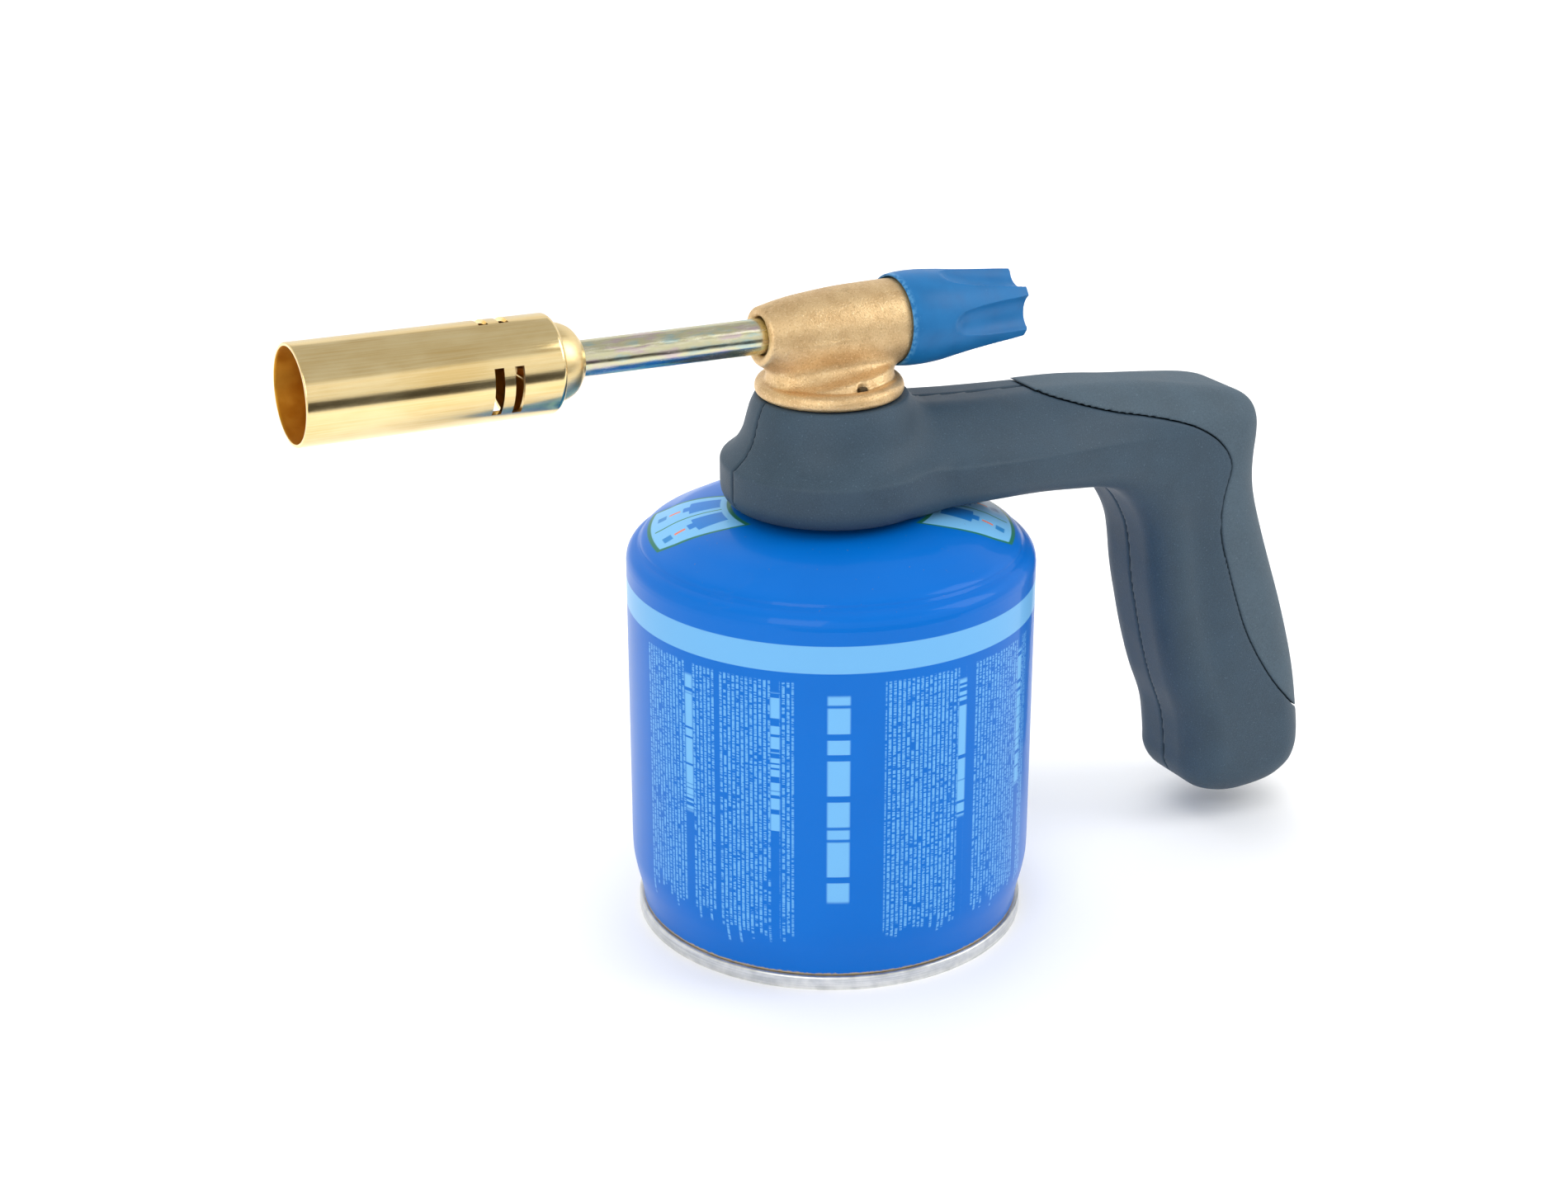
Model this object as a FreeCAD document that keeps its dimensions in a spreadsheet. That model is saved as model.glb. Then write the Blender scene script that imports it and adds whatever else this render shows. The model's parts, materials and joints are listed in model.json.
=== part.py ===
import FreeCAD, Part
import math
import os

import Sketcher

# Hand torch on a gas cartridge, in millimetres.
# The origin is on the cartridge's axis at the plane it stands on.  +Z is up, the
# burner points along -X and the handle reaches out along +X.  The plane y = 0 is
# the plane of symmetry and holds the parting line of the two handle halves.

doc = FreeCAD.newDocument("GasTorch")
sheet = doc.addObject("Spreadsheet::Sheet", "Dims")

DIMENSIONS = [
    ("can_radius", 45.0, "outside radius of the cartridge"),
    ("can_wall", 0.5, "wall of the drawn shell"),
    ("can_roll_start", 84.5, "height where the shoulder roll starts"),
    ("rim_radius", 43.7, "outside radius of the rolled base rim"),
    ("rim_height", 3.1, "height of the rolled base rim"),
    ("rim_width", 2.4, "radial width of the rolled base rim"),
    ("base_rise", 9.0, "height of the base disc at its centre"),
    ("collar_radius", 15.0, "outside radius of the shell's neck"),
    ("cup_lip_radius", 16.6, "outside radius of the valve cup's lip"),
    ("cup_lip_under", 99.2, "underside of the valve cup's lip"),
    ("cup_top", 102.2, "top of the valve cup's lip"),
    ("boss_top", 101.0, "top of the cup's centre boss"),
    ("plunger_radius", 1.8, "radius of the cartridge valve's plunger"),
    ("hub_radius", 24.2, "radius of the handle's hub"),
    ("hub_bottom", 97.0, "underside of the hub"),
    ("hub_crease", 107.2, "height of the crease round the hub"),
    ("hub_top", 121.6, "top of the hub's collar"),
    ("hub_round", 4.5, "rounding of the hub's lower edge"),
    ("shell_thick", 2.8, "wall of the hub"),
    ("insert_thick", 3.0, "thickness of the soft insert"),
    ("grip_half_width", 14.5, "half width of the pistol grip"),
    ("form_round", 8.0, "rounding of the arm and grip edges"),
    ("screw_radius", 1.45, "shank radius of the housing screws"),
    ("screw_head_radius", 2.8, "head radius of the housing screws"),
    ("flange_radius", 16.1, "radius of the cast body's flange"),
    ("flange_under", 121.7, "underside of the flange"),
    ("flange_thick", 3.6, "thickness of the flange"),
    ("shank_radius", 8.6, "radius of the threaded shank below the flange"),
    ("shank_bottom", 108.5, "lower end of the threaded shank"),
    ("nipple_radius", 4.8, "radius of the inlet nipple"),
    ("nipple_bottom", 102.9, "lower end of the inlet nipple"),
    ("barrel_height", 135.9, "height of the barrel axis above the floor on the cartridge axis"),
    ("barrel_tilt", 1.4, "rise of the barrel towards the burner, in degrees"),
    ("body_front", -17.9, "front face of the cast body along the barrel"),
    ("body_rear", 17.0, "rear face of the cast body along the barrel"),
    ("tube_radius", 3.8, "outside radius of the gas tube"),
    ("tube_bore", 2.6, "bore radius of the gas tube"),
    ("tube_front", -66.0, "front end of the gas tube"),
    ("tube_rear", -9.0, "rear end of the gas tube"),
    ("burner_radius", 10.3, "outside radius of the burner"),
    ("burner_bore", 9.4, "bore radius of the burner"),
    ("burner_mouth", -119.6, "open end of the burner"),
    ("burner_rear", -65.4, "rear end of the burner's barrel"),
    ("slot_width", 2.0, "width of an air slot along the barrel"),
    ("slot_arc", 60.0, "arc of an air slot, in degrees"),
    ("slot_first", -75.9, "position of the rear row of air slots"),
    ("slot_second", -80.2, "position of the front row of air slots"),
    ("chamber_radius", 3.0, "radius of the valve chamber"),
    ("seat_position", -4.0, "position of the needle's seat"),
    ("seat_radius", 0.9, "radius of the gas way behind the seat"),
    ("spindle_radius", 2.0, "radius of the needle spindle"),
    ("running_gap", 0.05, "radial clearance of the spindle in its gland"),
    ("knob_front", 14.6, "front lip of the knob"),
    ("knob_rear", 45.4, "rear end of the knob"),
    ("knob_lip_radius", 9.95, "radius of the knob at its lip"),
    ("knob_bulge_radius", 10.25, "largest radius of the knob"),
    ("knob_end_radius", 8.0, "radius of the knob at its rear"),
    ("flute_count", 5, "number of finger flutes round the knob"),
    ("flute_radius", 6.0, "radius of a finger flute"),
]

for row, (alias, value, note) in enumerate(DIMENSIONS, start=1):
    sheet.set("A%d" % row, alias)
    sheet.set("B%d" % row, str(value))
    sheet.set("C%d" % row, note)
    sheet.setAlias("B%d" % row, alias)
doc.recompute()


class Size:
    """A dimension: its value now, and the sheet formula that gives it."""

    def __init__(self, value, text):
        self.value = float(value)
        self.text = text

    def join(self, other, sign, value):
        return Size(value, "(%s %s %s)" % (self.text, sign, size(other).text))

    def __add__(self, other):
        return self.join(other, "+", self.value + size(other).value)

    def __sub__(self, other):
        return self.join(other, "-", self.value - size(other).value)

    def __mul__(self, other):
        return self.join(other, "*", self.value * size(other).value)

    def __truediv__(self, other):
        return self.join(other, "/", self.value / size(other).value)

    def __neg__(self):
        return Size(-self.value, "(0 - %s)" % self.text)


def size(thing):
    if isinstance(thing, Size):
        return thing
    return Size(thing, "(%s)" % repr(float(thing)))


class Sheet:
    """The sheet's cells as sizes, by alias."""

    def __init__(self, rows):
        for alias, value, note in rows:
            setattr(self, alias, Size(sheet.get(alias), "Dims." + alias))


d = Sheet(DIMENSIONS)
UP = FreeCAD.Vector(0, 0, 1)
SIDE = FreeCAD.Vector(0, 1, 0)
finished = {}


def bind(thing, name, amount):
    """Sets a property and ties it to the sheet."""
    amount = size(amount)
    if name[0] != ".":
        setattr(thing, name, amount.value)
    thing.setExpression(name, amount.text)


def keep(thing, label):
    """Names a finished sub-part."""
    thing.Label = label
    finished[label] = thing
    return thing


def origin_plane(body, role):
    for feature in body.Origin.OriginFeatures:
        if feature.Role == role:
            return feature
    raise ValueError(role)


def outline_sketch(body, name, role, points):
    """A closed polygon on an origin plane, every corner placed from the sheet."""
    sketch = body.newObject("Sketcher::SketchObject", name)
    sketch.AttachmentSupport = [(origin_plane(body, role), "")]
    sketch.MapMode = "FlatFace"
    corners = [(size(a), size(b)) for a, b in points]
    count = len(corners)
    lines = []
    for index in range(count):
        start = corners[index]
        end = corners[(index + 1) % count]
        lines.append(
            Part.LineSegment(
                FreeCAD.Vector(start[0].value, start[1].value, 0),
                FreeCAD.Vector(end[0].value, end[1].value, 0),
            )
        )
    sketch.addGeometry(lines, False)
    for index in range(count):
        sketch.addConstraint(
            Sketcher.Constraint("Coincident", index, 2, (index + 1) % count, 1)
        )
    for index, corner in enumerate(corners):
        for kind, amount in (("DistanceX", corner[0]), ("DistanceY", corner[1])):
            number = sketch.addConstraint(
                Sketcher.Constraint(kind, -1, 1, index, 1, amount.value)
            )
            sketch.setExpression("Constraints[%d]" % number, amount.text)
    return sketch


def turned(name, points, rounds=()):
    """A body of revolution about its own Z axis, from (radius, height) corners.

    rounds lists (radius, height, rounding) for the round edges to be rounded.
    """
    body = doc.addObject("PartDesign::Body", name)
    sketch = outline_sketch(body, name + "Outline", "XZ_Plane", points)
    spin = body.newObject("PartDesign::Revolution", name + "Turned")
    spin.Profile = sketch
    spin.ReferenceAxis = (sketch, ["V_Axis"])
    spin.Angle = 360.0
    doc.recompute()
    last = spin
    for number, (radius, height, rounding) in enumerate(rounds):
        radius = size(radius)
        height = size(height)
        picked = []
        for index, edge in enumerate(last.Shape.Edges, start=1):
            curve = edge.Curve
            if not isinstance(curve, Part.Circle):
                continue
            if abs(curve.Radius - radius.value) > 0.01:
                continue
            if abs(curve.Center.z - height.value) > 0.01:
                continue
            picked.append("Edge%d" % index)
        if not picked:
            raise ValueError("%s has no edge at %g, %g" % (name, radius.value, height.value))
        soft = body.newObject("PartDesign::Fillet", "%sRound%d" % (name, number))
        soft.Base = (last, picked)
        bind(soft, "Radius", rounding)
        doc.recompute()
        last = soft
    return body


def on_barrel(thing):
    """Lays a part's Z axis along the barrel, pointing towards the knob."""
    thing.Placement = FreeCAD.Placement(
        FreeCAD.Vector(0, 0, d.barrel_height.value),
        FreeCAD.Rotation(SIDE, 90.0 + d.barrel_tilt.value),
    )
    thing.setExpression(".Placement.Base.z", d.barrel_height.text)
    thing.setExpression(".Placement.Rotation.Angle", "90 + Dims.barrel_tilt")
    return thing


def cylinder(name, radius, height, base=(0, 0, 0), direction=UP):
    """A cylinder from a base point along a direction."""
    rod = doc.addObject("Part::Cylinder", name)
    bind(rod, "Radius", radius)
    bind(rod, "Height", height)
    spot = [size(number) for number in base]
    rod.Placement = FreeCAD.Placement(
        FreeCAD.Vector(*[number.value for number in spot]),
        FreeCAD.Rotation(UP, FreeCAD.Vector(*direction)),
    )
    for letter, number in zip("xyz", spot):
        rod.setExpression(".Placement.Base." + letter, number.text)
    return rod


def box(name, low, high):
    """A box between two corners."""
    block = doc.addObject("Part::Box", name)
    start = [size(number) for number in low]
    end = [size(number) for number in high]
    for side, first, last in zip(("Length", "Width", "Height"), start, end):
        bind(block, side, last - first)
    block.Placement.Base = FreeCAD.Vector(*[number.value for number in start])
    for letter, number in zip("xyz", start):
        block.setExpression(".Placement.Base." + letter, number.text)
    return block


def joined(name, things):
    together = doc.addObject("Part::MultiFuse", name)
    together.Shapes = things
    together.Refine = True
    return together


def cut(name, base, tools):
    """The base less one tool or several."""
    tool = tools[0]
    if len(tools) > 1:
        tool = joined(name + "Tools", tools)
    left = doc.addObject("Part::Cut", name)
    left.Base = base
    left.Tool = tool
    left.Refine = True
    return left


def common(name, things):
    shared = doc.addObject("Part::MultiCommon", name)
    shared.Shapes = things
    return shared


# Cartridge: a drawn shell with a rolled shoulder and a low dome, standing on a
# rolled rim, closed on top by a crimped valve cup.

dome = [(33.0, 93.6), (22.0, 96.0), (17.4, 96.4)]
outer = [
    (d.rim_radius - 0.9, d.rim_height),
    (d.can_radius - 1.2, d.rim_height + 3.4),
    (d.can_radius, d.rim_height + 8.9),
    (d.can_radius, d.can_roll_start),
    (d.can_radius - 0.7, d.can_roll_start + 2.6),
    (d.can_radius - 2.5, d.can_roll_start + 4.5),
    (d.can_radius - 3.6, d.can_roll_start + 4.9),
    (d.can_radius - 4.6, d.can_roll_start + 5.6),
] + dome + [
    (d.collar_radius, 97.6),
    (d.collar_radius, d.cup_top - 1.0),
]
inner = [
    (d.collar_radius - d.can_wall, d.cup_top - 1.0),
    (d.collar_radius - d.can_wall, 97.2),
    (17.2, 95.9),
    (21.9, 95.5),
    (32.8, 93.1),
    (d.can_radius - 4.8, d.can_roll_start + 5.1),
    (d.can_radius - 3.8, d.can_roll_start + 4.4),
    (d.can_radius - 2.8, d.can_roll_start + 4.1),
    (d.can_radius - 1.2, d.can_roll_start + 2.3),
    (d.can_radius - d.can_wall, d.can_roll_start),
    (d.can_radius - d.can_wall, d.rim_height + 9.0),
    (d.can_radius - 1.7, d.rim_height + 3.6),
    (d.rim_radius - 1.4, d.rim_height),
]
keep(turned("CanShell", outer + inner), "can_shell")

base_points = [
    (d.rim_radius, 0),
    (d.rim_radius, d.rim_height),
    (d.rim_radius - d.rim_width, d.rim_height),
    (d.rim_radius - d.rim_width, 2.2),
    (36.0, 3.4),
    (20.0, d.base_rise - 1.8),
    (0, d.base_rise),
    (0, d.base_rise - 0.5),
    (20.0, d.base_rise - 2.3),
    (36.0, 2.9),
    (d.rim_radius - d.rim_width, 1.7),
    (d.rim_radius - d.rim_width, 0),
]
keep(
    turned(
        "CanBase",
        base_points,
        [
            (d.rim_radius, d.rim_height, 0.6),
            (d.rim_radius - d.rim_width, 0, 0.5),
        ],
    ),
    "can_base",
)

# The cup's lip has three gates, halfway between the claws of the locking ring.
cup_points = [
    (d.collar_radius + 0.2, d.cup_lip_under),
    (d.cup_lip_radius, d.cup_lip_under),
    (d.cup_lip_radius, d.cup_top),
    (13.4, d.cup_top),
    (13.4, 98.6),
    (5.5, 98.6),
    (5.5, d.boss_top),
    (2.0, d.boss_top),
    (2.0, d.boss_top - 0.6),
    (4.9, d.boss_top - 0.6),
    (4.9, 98.0),
    (14.2, 98.0),
    (14.2, d.cup_top - 0.8),
    (d.collar_radius + 0.2, d.cup_top - 0.8),
]
cup = turned("CupBlank", cup_points, [(d.cup_lip_radius, d.cup_top, 0.8)])
gates = []
for number in range(3):
    gate = box("CupGate%d" % number, (d.collar_radius + 0.2, -9.6, 98.8), (20, 9.6, 103))
    turn = FreeCAD.Rotation(UP, 60.0 + 120.0 * number)
    lever = FreeCAD.Vector(d.collar_radius.value + 0.2, -9.6, 98.8)
    gate.setExpression(".Placement.Base.x", None)
    gate.setExpression(".Placement.Base.y", None)
    gate.Placement = FreeCAD.Placement(turn.multVec(lever), turn)
    gates.append(gate)
keep(cut("ValveCup", cup, gates), "valve_cup")

keep(
    turned(
        "ValveHousing",
        [
            (1.0, 82.0),
            (4.6, 82.0),
            (4.6, 98.9),
            (3.9, 98.9),
            (3.9, 83.2),
            (1.0, 83.2),
        ],
    ),
    "valve_housing",
)
keep(
    turned("ValveGasket", [(2.05, 99.0), (4.6, 99.0), (4.6, 100.3), (2.05, 100.3)]),
    "valve_gasket",
)
keep(
    turned(
        "ValvePlunger",
        [
            (0, 92.0),
            (1.5, 92.0),
            (1.5, 95.4),
            (3.5, 95.4),
            (3.5, 98.6),
            (d.plunger_radius, 98.6),
            (d.plunger_radius, d.boss_top - 0.3),
            (0, d.boss_top - 0.3),
        ],
    ),
    "valve_plunger",
)

helix = doc.addObject("Part::Helix", "SpringPath")
helix.Pitch = 2.2
helix.Height = 11.0
helix.Radius = 2.7
helix.Placement.Base = FreeCAD.Vector(0, 0, 83.8)
wire = doc.addObject("Part::Circle", "SpringWire")
wire.Radius = 0.4
wire.Placement = FreeCAD.Placement(
    FreeCAD.Vector(2.7, 0, 83.8), FreeCAD.Rotation(FreeCAD.Vector(1, 0, 0), 90.0)
)
doc.recompute()
spring = doc.addObject("Part::Sweep", "ValveSpring")
spring.Sections = [wire]
spring.Spine = (helix, ["Edge%d" % (n + 1) for n in range(len(helix.Shape.Edges))])
spring.Solid = True
spring.Frenet = True
keep(spring, "valve_spring")

# Handle: a hub round the neck, an arm and a pistol grip, moulded in two halves
# that meet on the plane of symmetry, with a soft insert over the arm and the back.

SIDE_OUTLINE = [
    (0.0, 118.3), (10.0, 118.1), (20.0, 117.6), (32.0, 116.6), (45.0, 115.9), (62.0, 115.2),
    (78.0, 113.5), (89.0, 111.5), (97.6, 108.7), (103.7, 104.2), (107.2, 98.0), (108.6, 90.5),
    (109.6, 82.6), (112.2, 73.8), (115.4, 64.9), (118.7, 55.8), (121.7, 46.6), (124.3, 37.3),
    (126.1, 28.1), (127.4, 20.4), (125.6, 12.9), (119.9, 7.4), (111.0, 5.3), (101.9, 7.4),
    (95.6, 13.6), (93.4, 21.4), (91.6, 28.6), (88.2, 36.8), (85.3, 46.1), (83.1, 55.1),
    (81.2, 64.0), (79.9, 71.8), (77.0, 81.0), (71.4, 88.2), (63.0, 92.4), (53.0, 94.6),
    (42.0, 96.0), (26.0, 96.8), (12.0, 97.0), (0.0, 97.0),
]
PLAN_OUTLINE = [
    (-6.0, 13.5), (8.0, 19.0), (20.0, 20.9), (32.0, 20.4), (45.0, 18.9), (58.0, 17.0),
    (74.0, 15.1), (90.0, 14.5), (110.0, 14.5), (135.0, 14.5),
]
SEAM = [
    (40.0, 124.0), (43.4, 118.9), (49.5, 115.6), (57.0, 112.9), (66.0, 110.1),
    (77.0, 107.3), (87.0, 104.0), (93.6, 99.9), (97.0, 96.0), (98.2, 92.7),
    (97.7, 90.0), (96.6, 85.8), (96.1, 81.0), (96.8, 75.2), (99.0, 67.6),
    (102.0, 58.8), (105.6, 49.9), (110.6, 41.2), (116.6, 33.0), (123.0, 26.6),
    (128.0, 23.4), (134.0, 21.6),
]


def shrunk(points, inset):
    """An open outline that runs clockwise, moved inwards along its normals."""
    moved = []
    last = len(points) - 1
    for index, (a, b) in enumerate(points):
        before = points[max(index - 1, 0)]
        after = points[min(index + 1, last)]
        along = FreeCAD.Vector(after[0] - before[0], after[1] - before[1], 0).normalize()
        moved.append((a + along.y * inset, b - along.x * inset))
    return moved


def smooth_face(points, to_space):
    """A flat face inside a smooth curve through the points, closed by a straight edge."""
    spots = [to_space(a, b) for a, b in points]
    curve = Part.BSplineCurve()
    curve.interpolate(Points=spots)
    return Part.Face(Part.Wire([curve.toShape(), Part.makeLine(spots[-1], spots[0])]))


def arm_and_grip(name, inset):
    """The arm and grip less an inset: side outline and plan outline in common."""
    outline = doc.addObject("Part::Feature", name + "Side")
    outline.Shape = smooth_face(
        shrunk(SIDE_OUTLINE, inset), lambda a, b: FreeCAD.Vector(a, -60, b)
    )
    side = doc.addObject("Part::Extrusion", name + "SideForm")
    side.Base = outline
    side.Dir = SIDE
    side.LengthFwd = 120.0
    side.Solid = True
    half = [(a, b - inset) for a, b in PLAN_OUTLINE]
    edge = Part.BSplineCurve()
    edge.interpolate(Points=[FreeCAD.Vector(a, b, -5) for a, b in half])
    mirror = Part.BSplineCurve()
    mirror.interpolate(Points=[FreeCAD.Vector(a, -b, -5) for a, b in half])
    ends = [
        Part.LineSegment(FreeCAD.Vector(a, -b, -5), FreeCAD.Vector(a, b, -5)).toShape()
        for a, b in (half[0], half[-1])
    ]
    plan_wire = Part.Wire(Part.__sortEdges__([edge.toShape(), mirror.toShape()] + ends))
    plan_face = doc.addObject("Part::Feature", name + "Plan")
    plan_face.Shape = Part.Face(plan_wire)
    plan = doc.addObject("Part::Extrusion", name + "PlanForm")
    plan.Base = plan_face
    plan.Dir = UP
    plan.LengthFwd = 160.0
    plan.Solid = True
    form = common(name + "Form", [side, plan])
    doc.recompute()
    rounding = d.form_round.value - inset
    picked = []
    for index, edge in enumerate(form.Shape.Edges, start=1):
        middle = edge.valueAt((edge.FirstParameter + edge.LastParameter) / 2.0)
        if abs(middle.y) > 5.0 and edge.Length > 40.0 and middle.x > 20.0:
            picked.append((index, rounding, rounding))
    soft = doc.addObject("Part::Fillet", name + "Rounded")
    soft.Base = form
    soft.Edges = picked
    doc.recompute()
    return soft


skin = arm_and_grip("Skin", 0.0)
under_insert = arm_and_grip("UnderInsert", d.insert_thick.value)
hollow = arm_and_grip("Hollow", 4.6)

seam_curve = Part.BSplineCurve()
seam_curve.interpolate(Points=[FreeCAD.Vector(a, -60, b) for a, b in SEAM])
seam_ends = [FreeCAD.Vector(SEAM[-1][0], -60, SEAM[-1][1])]
seam_ends += [FreeCAD.Vector(170, -60, 22), FreeCAD.Vector(170, -60, 150)]
seam_ends += [FreeCAD.Vector(36, -60, 150), FreeCAD.Vector(SEAM[0][0], -60, SEAM[0][1])]
seam_wire = Part.Wire([seam_curve.toShape()] + Part.makePolygon(seam_ends).Edges)
seam_face = doc.addObject("Part::Feature", "SeamFace")
seam_face.Shape = Part.Face(seam_wire)
behind_seam = doc.addObject("Part::Extrusion", "BehindSeam")
behind_seam.Base = seam_face
behind_seam.Dir = SIDE
behind_seam.LengthFwd = 120.0
behind_seam.Solid = True

insert = cut("GripInsert", common("InsertBlank", [skin, behind_seam]), [under_insert])
keep(insert, "grip_insert")

hub = turned(
    "HubOuter",
    [
        (0, d.hub_bottom),
        (d.hub_radius, d.hub_bottom),
        (d.hub_radius, d.hub_crease),
        (18.9, 113.6),
        (16.7, d.hub_top),
        (0, d.hub_top),
    ],
    [
        (18.9, 113.6, 7.0),
        (d.hub_radius, d.hub_crease, 1.4),
        (d.hub_radius, d.hub_bottom, d.hub_round),
    ],
)
hub_hollow = turned(
    "HubHollow",
    [
        (0, d.hub_bottom - 4),
        (d.hub_radius - d.shell_thick, d.hub_bottom - 4),
        (d.hub_radius - d.shell_thick, d.hub_crease - 1.2),
        (16.6, 112.0),
        (14.6, d.hub_top - 3.2),
        (d.shank_radius + 0.1, d.hub_top - 3.2),
        (d.shank_radius + 0.1, d.hub_top + 2),
        (0, d.hub_top + 2),
    ],
)

# Each screw goes in from the far side, through a boss of one half into a boss of
# the other: (name, x, z, half length of the boss).
SCREWS = [
    ("screw_hub", 33.0, 106.0, 18.4),
    ("screw_elbow", 86.0, 98.0, 13.0),
    ("screw_grip", 91.0, 58.0, 13.0),
    ("screw_foot", 106.0, 18.0, 13.0),
]
bosses = []
clear_holes = []
thread_holes = []
for name, x, z, half in SCREWS:
    bosses.append(cylinder("Boss_" + name, 3.6, 2 * half, (x, -half, z), SIDE))
    clear_holes.append(cylinder("Clear_" + name, 1.7, half + 4, (x, -1, z), SIDE))
    clear_holes.append(cylinder("Recess_" + name, 3.2, 12, (x, half - 3.4, z), SIDE))
    thread_holes.append(
        cylinder("Thread_" + name, d.screw_radius + 0.05, 9.0, (x, -9.0, z), SIDE)
    )
    head = cylinder("Head_" + name, d.screw_head_radius, 1.9, (x, half - 3.4, z), SIDE)
    shank = cylinder(
        "Shank_" + name, d.screw_radius, half - 3.4 + 8.0, (x, -8.0, z), SIDE
    )
    drive = cylinder("Drive_" + name, 1.1, 1.2, (x, half - 2.5, z), SIDE)
    keep(cut("Screw_" + name, joined("ScrewBlank_" + name, [head, shank]), [drive]), name)

outside = cut("HandleOutside", joined("HandleBlank", [hub, skin]), [insert])
shell = cut("HandleShell", outside, [hollow, hub_hollow])
walled = joined("HandleWalled", [shell] + bosses)
near_space = box("NearSpace", (-60, -60, 0), (180, 0, 160))
far_space = box("FarSpace", (-60, 0, 0), (180, 60, 160))
left = cut("HousingLeft", common("LeftBlank", [walled, near_space]), thread_holes)
right = cut("HousingRight", common("RightBlank", [walled, far_space]), clear_holes)
keep(left, "housing_left")
keep(right, "housing_right")

# Locking ring in the hub: three claws reach under the lip of the valve cup.
ring = turned(
    "LockRingBlank",
    [
        (d.cup_lip_radius - 0.8, 97.6),
        (18.8, 97.6),
        (18.8, 105.4),
        (20.2, 105.4),
        (20.2, 107.0),
        (d.nipple_radius + 0.4, 107.0),
        (d.nipple_radius + 0.4, 105.5),
        (17.3, 105.5),
        (17.3, 98.9),
        (d.cup_lip_radius - 0.8, 98.9),
    ],
)
notches = []
for number in range(3):
    notch = box("ClawGap%d" % number, (15.0, -7.5, 97.0), (17.25, 7.5, 99.2))
    turn = FreeCAD.Rotation(UP, 60.0 + 120.0 * number)
    lever = FreeCAD.Vector(15.0, -7.5, 97.0)
    notch.setExpression(".Placement.Base.x", None)
    notch.setExpression(".Placement.Base.y", None)
    notch.Placement = FreeCAD.Placement(turn.multVec(lever), turn)
    notches.append(notch)
keep(cut("LockRing", ring, notches), "lock_ring")
keep(
    turned(
        "WaveWasher",
        [
            (d.nipple_radius + 0.4, 107.15),
            (8.4, 107.15),
            (8.4, 108.4),
            (d.nipple_radius + 0.4, 108.4),
        ],
    ),
    "wave_washer",
)
keep(
    turned(
        "LockNut",
        [
            (d.shank_radius + 0.05, 114.6),
            (13.4, 114.6),
            (13.4, 118.3),
            (d.shank_radius + 0.05, 118.3),
        ],
        [(13.4, 114.6, 0.8)],
    ),
    "lock_nut",
)

# Cast body: a flange with its threaded shank and inlet nipple, an oval neck and
# a barrel that swells towards the knob.
flange_top = d.flange_under + d.flange_thick
flange = turned(
    "FlangeCast",
    [
        (0, d.nipple_bottom),
        (d.nipple_radius, d.nipple_bottom),
        (d.nipple_radius, d.shank_bottom),
        (d.shank_radius, d.shank_bottom),
        (d.shank_radius, d.flange_under),
        (d.flange_radius, d.flange_under),
        (d.flange_radius, flange_top),
        (12.8, flange_top),
        (12.0, flange_top - 0.5),
        (0, flange_top - 0.5),
    ],
    [
        (d.flange_radius, flange_top, 1.7),
        (d.flange_radius, d.flange_under, 1.3),
        (d.nipple_radius, d.nipple_bottom, 0.3),
    ],
)


def oval_ring(name, long_radius, short_radius, height):
    """A level ellipse round the cartridge axis, its long radius along X."""
    ring = doc.addObject("Part::Ellipse", name)
    bind(ring, "MajorRadius", long_radius)
    bind(ring, "MinorRadius", short_radius)
    ring.Placement.Base.z = size(height).value
    ring.setExpression(".Placement.Base.z", size(height).text)
    return ring


def oval(name, rings):
    """An upright oval block through several rings."""
    block = doc.addObject("Part::Loft", name)
    block.Sections = rings
    block.Solid = True
    block.Ruled = False
    return block


neck = oval(
    "Neck",
    [
        oval_ring("NeckFoot", 13.5, 9.6, flange_top - 1.0),
        oval_ring("NeckStep", 13.3, 9.2, flange_top + 0.8),
        oval_ring("NeckWaist", 12.8, 7.6, flange_top + 3.2),
        oval_ring("NeckHead", 13.0, 7.4, d.barrel_height - 1.5),
    ],
)
barrel = on_barrel(
    turned(
        "BarrelCast",
        [
            (0, d.body_front),
            (6.3, d.body_front),
            (7.4, -11.0),
            (8.2, -5.0),
            (8.7, 1.0),
            (8.9, 7.0),
            (9.0, 13.0),
            (9.0, d.body_rear),
            (0, d.body_rear),
        ],
        [(6.3, d.body_front, 1.2), (9.0, d.body_rear, 0.6)],
    )
)
ways = on_barrel(
    turned(
        "BarrelWays",
        [
            (0, d.body_front - 2),
            (d.tube_radius + 0.05, d.body_front - 2),
            (d.tube_radius + 0.05, d.tube_rear + 0.2),
            (d.seat_radius, d.tube_rear + 0.2),
            (d.seat_radius, d.seat_position),
            (d.chamber_radius, d.seat_position + 1.5),
            (d.chamber_radius, 9.0),
            (4.6, 9.0),
            (4.6, d.body_rear + 1),
            (0, d.body_rear + 1),
        ],
    )
)
pusher_bore = cylinder("PusherBore", 1.55, 10.0, (0, 0, 102.0))
inlet_bore = cylinder("InletBore", 2.2, d.barrel_height - 1.5 - 112.0, (0, 0, 112.0))
pin_bore = cylinder("PinBore", 0.95, 6.0, (0.9, -12.0, flange_top - 2.6))
keep(
    cut(
        "BrassBody",
        joined("BrassBlank", [flange, neck, barrel]),
        [ways, pusher_bore, inlet_bore, pin_bore],
    ),
    "brass_body",
)
keep(cylinder("FlangePin", 0.9, 2.7, (0.9, -12.0, flange_top - 2.5)), "flange_pin")

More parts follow.
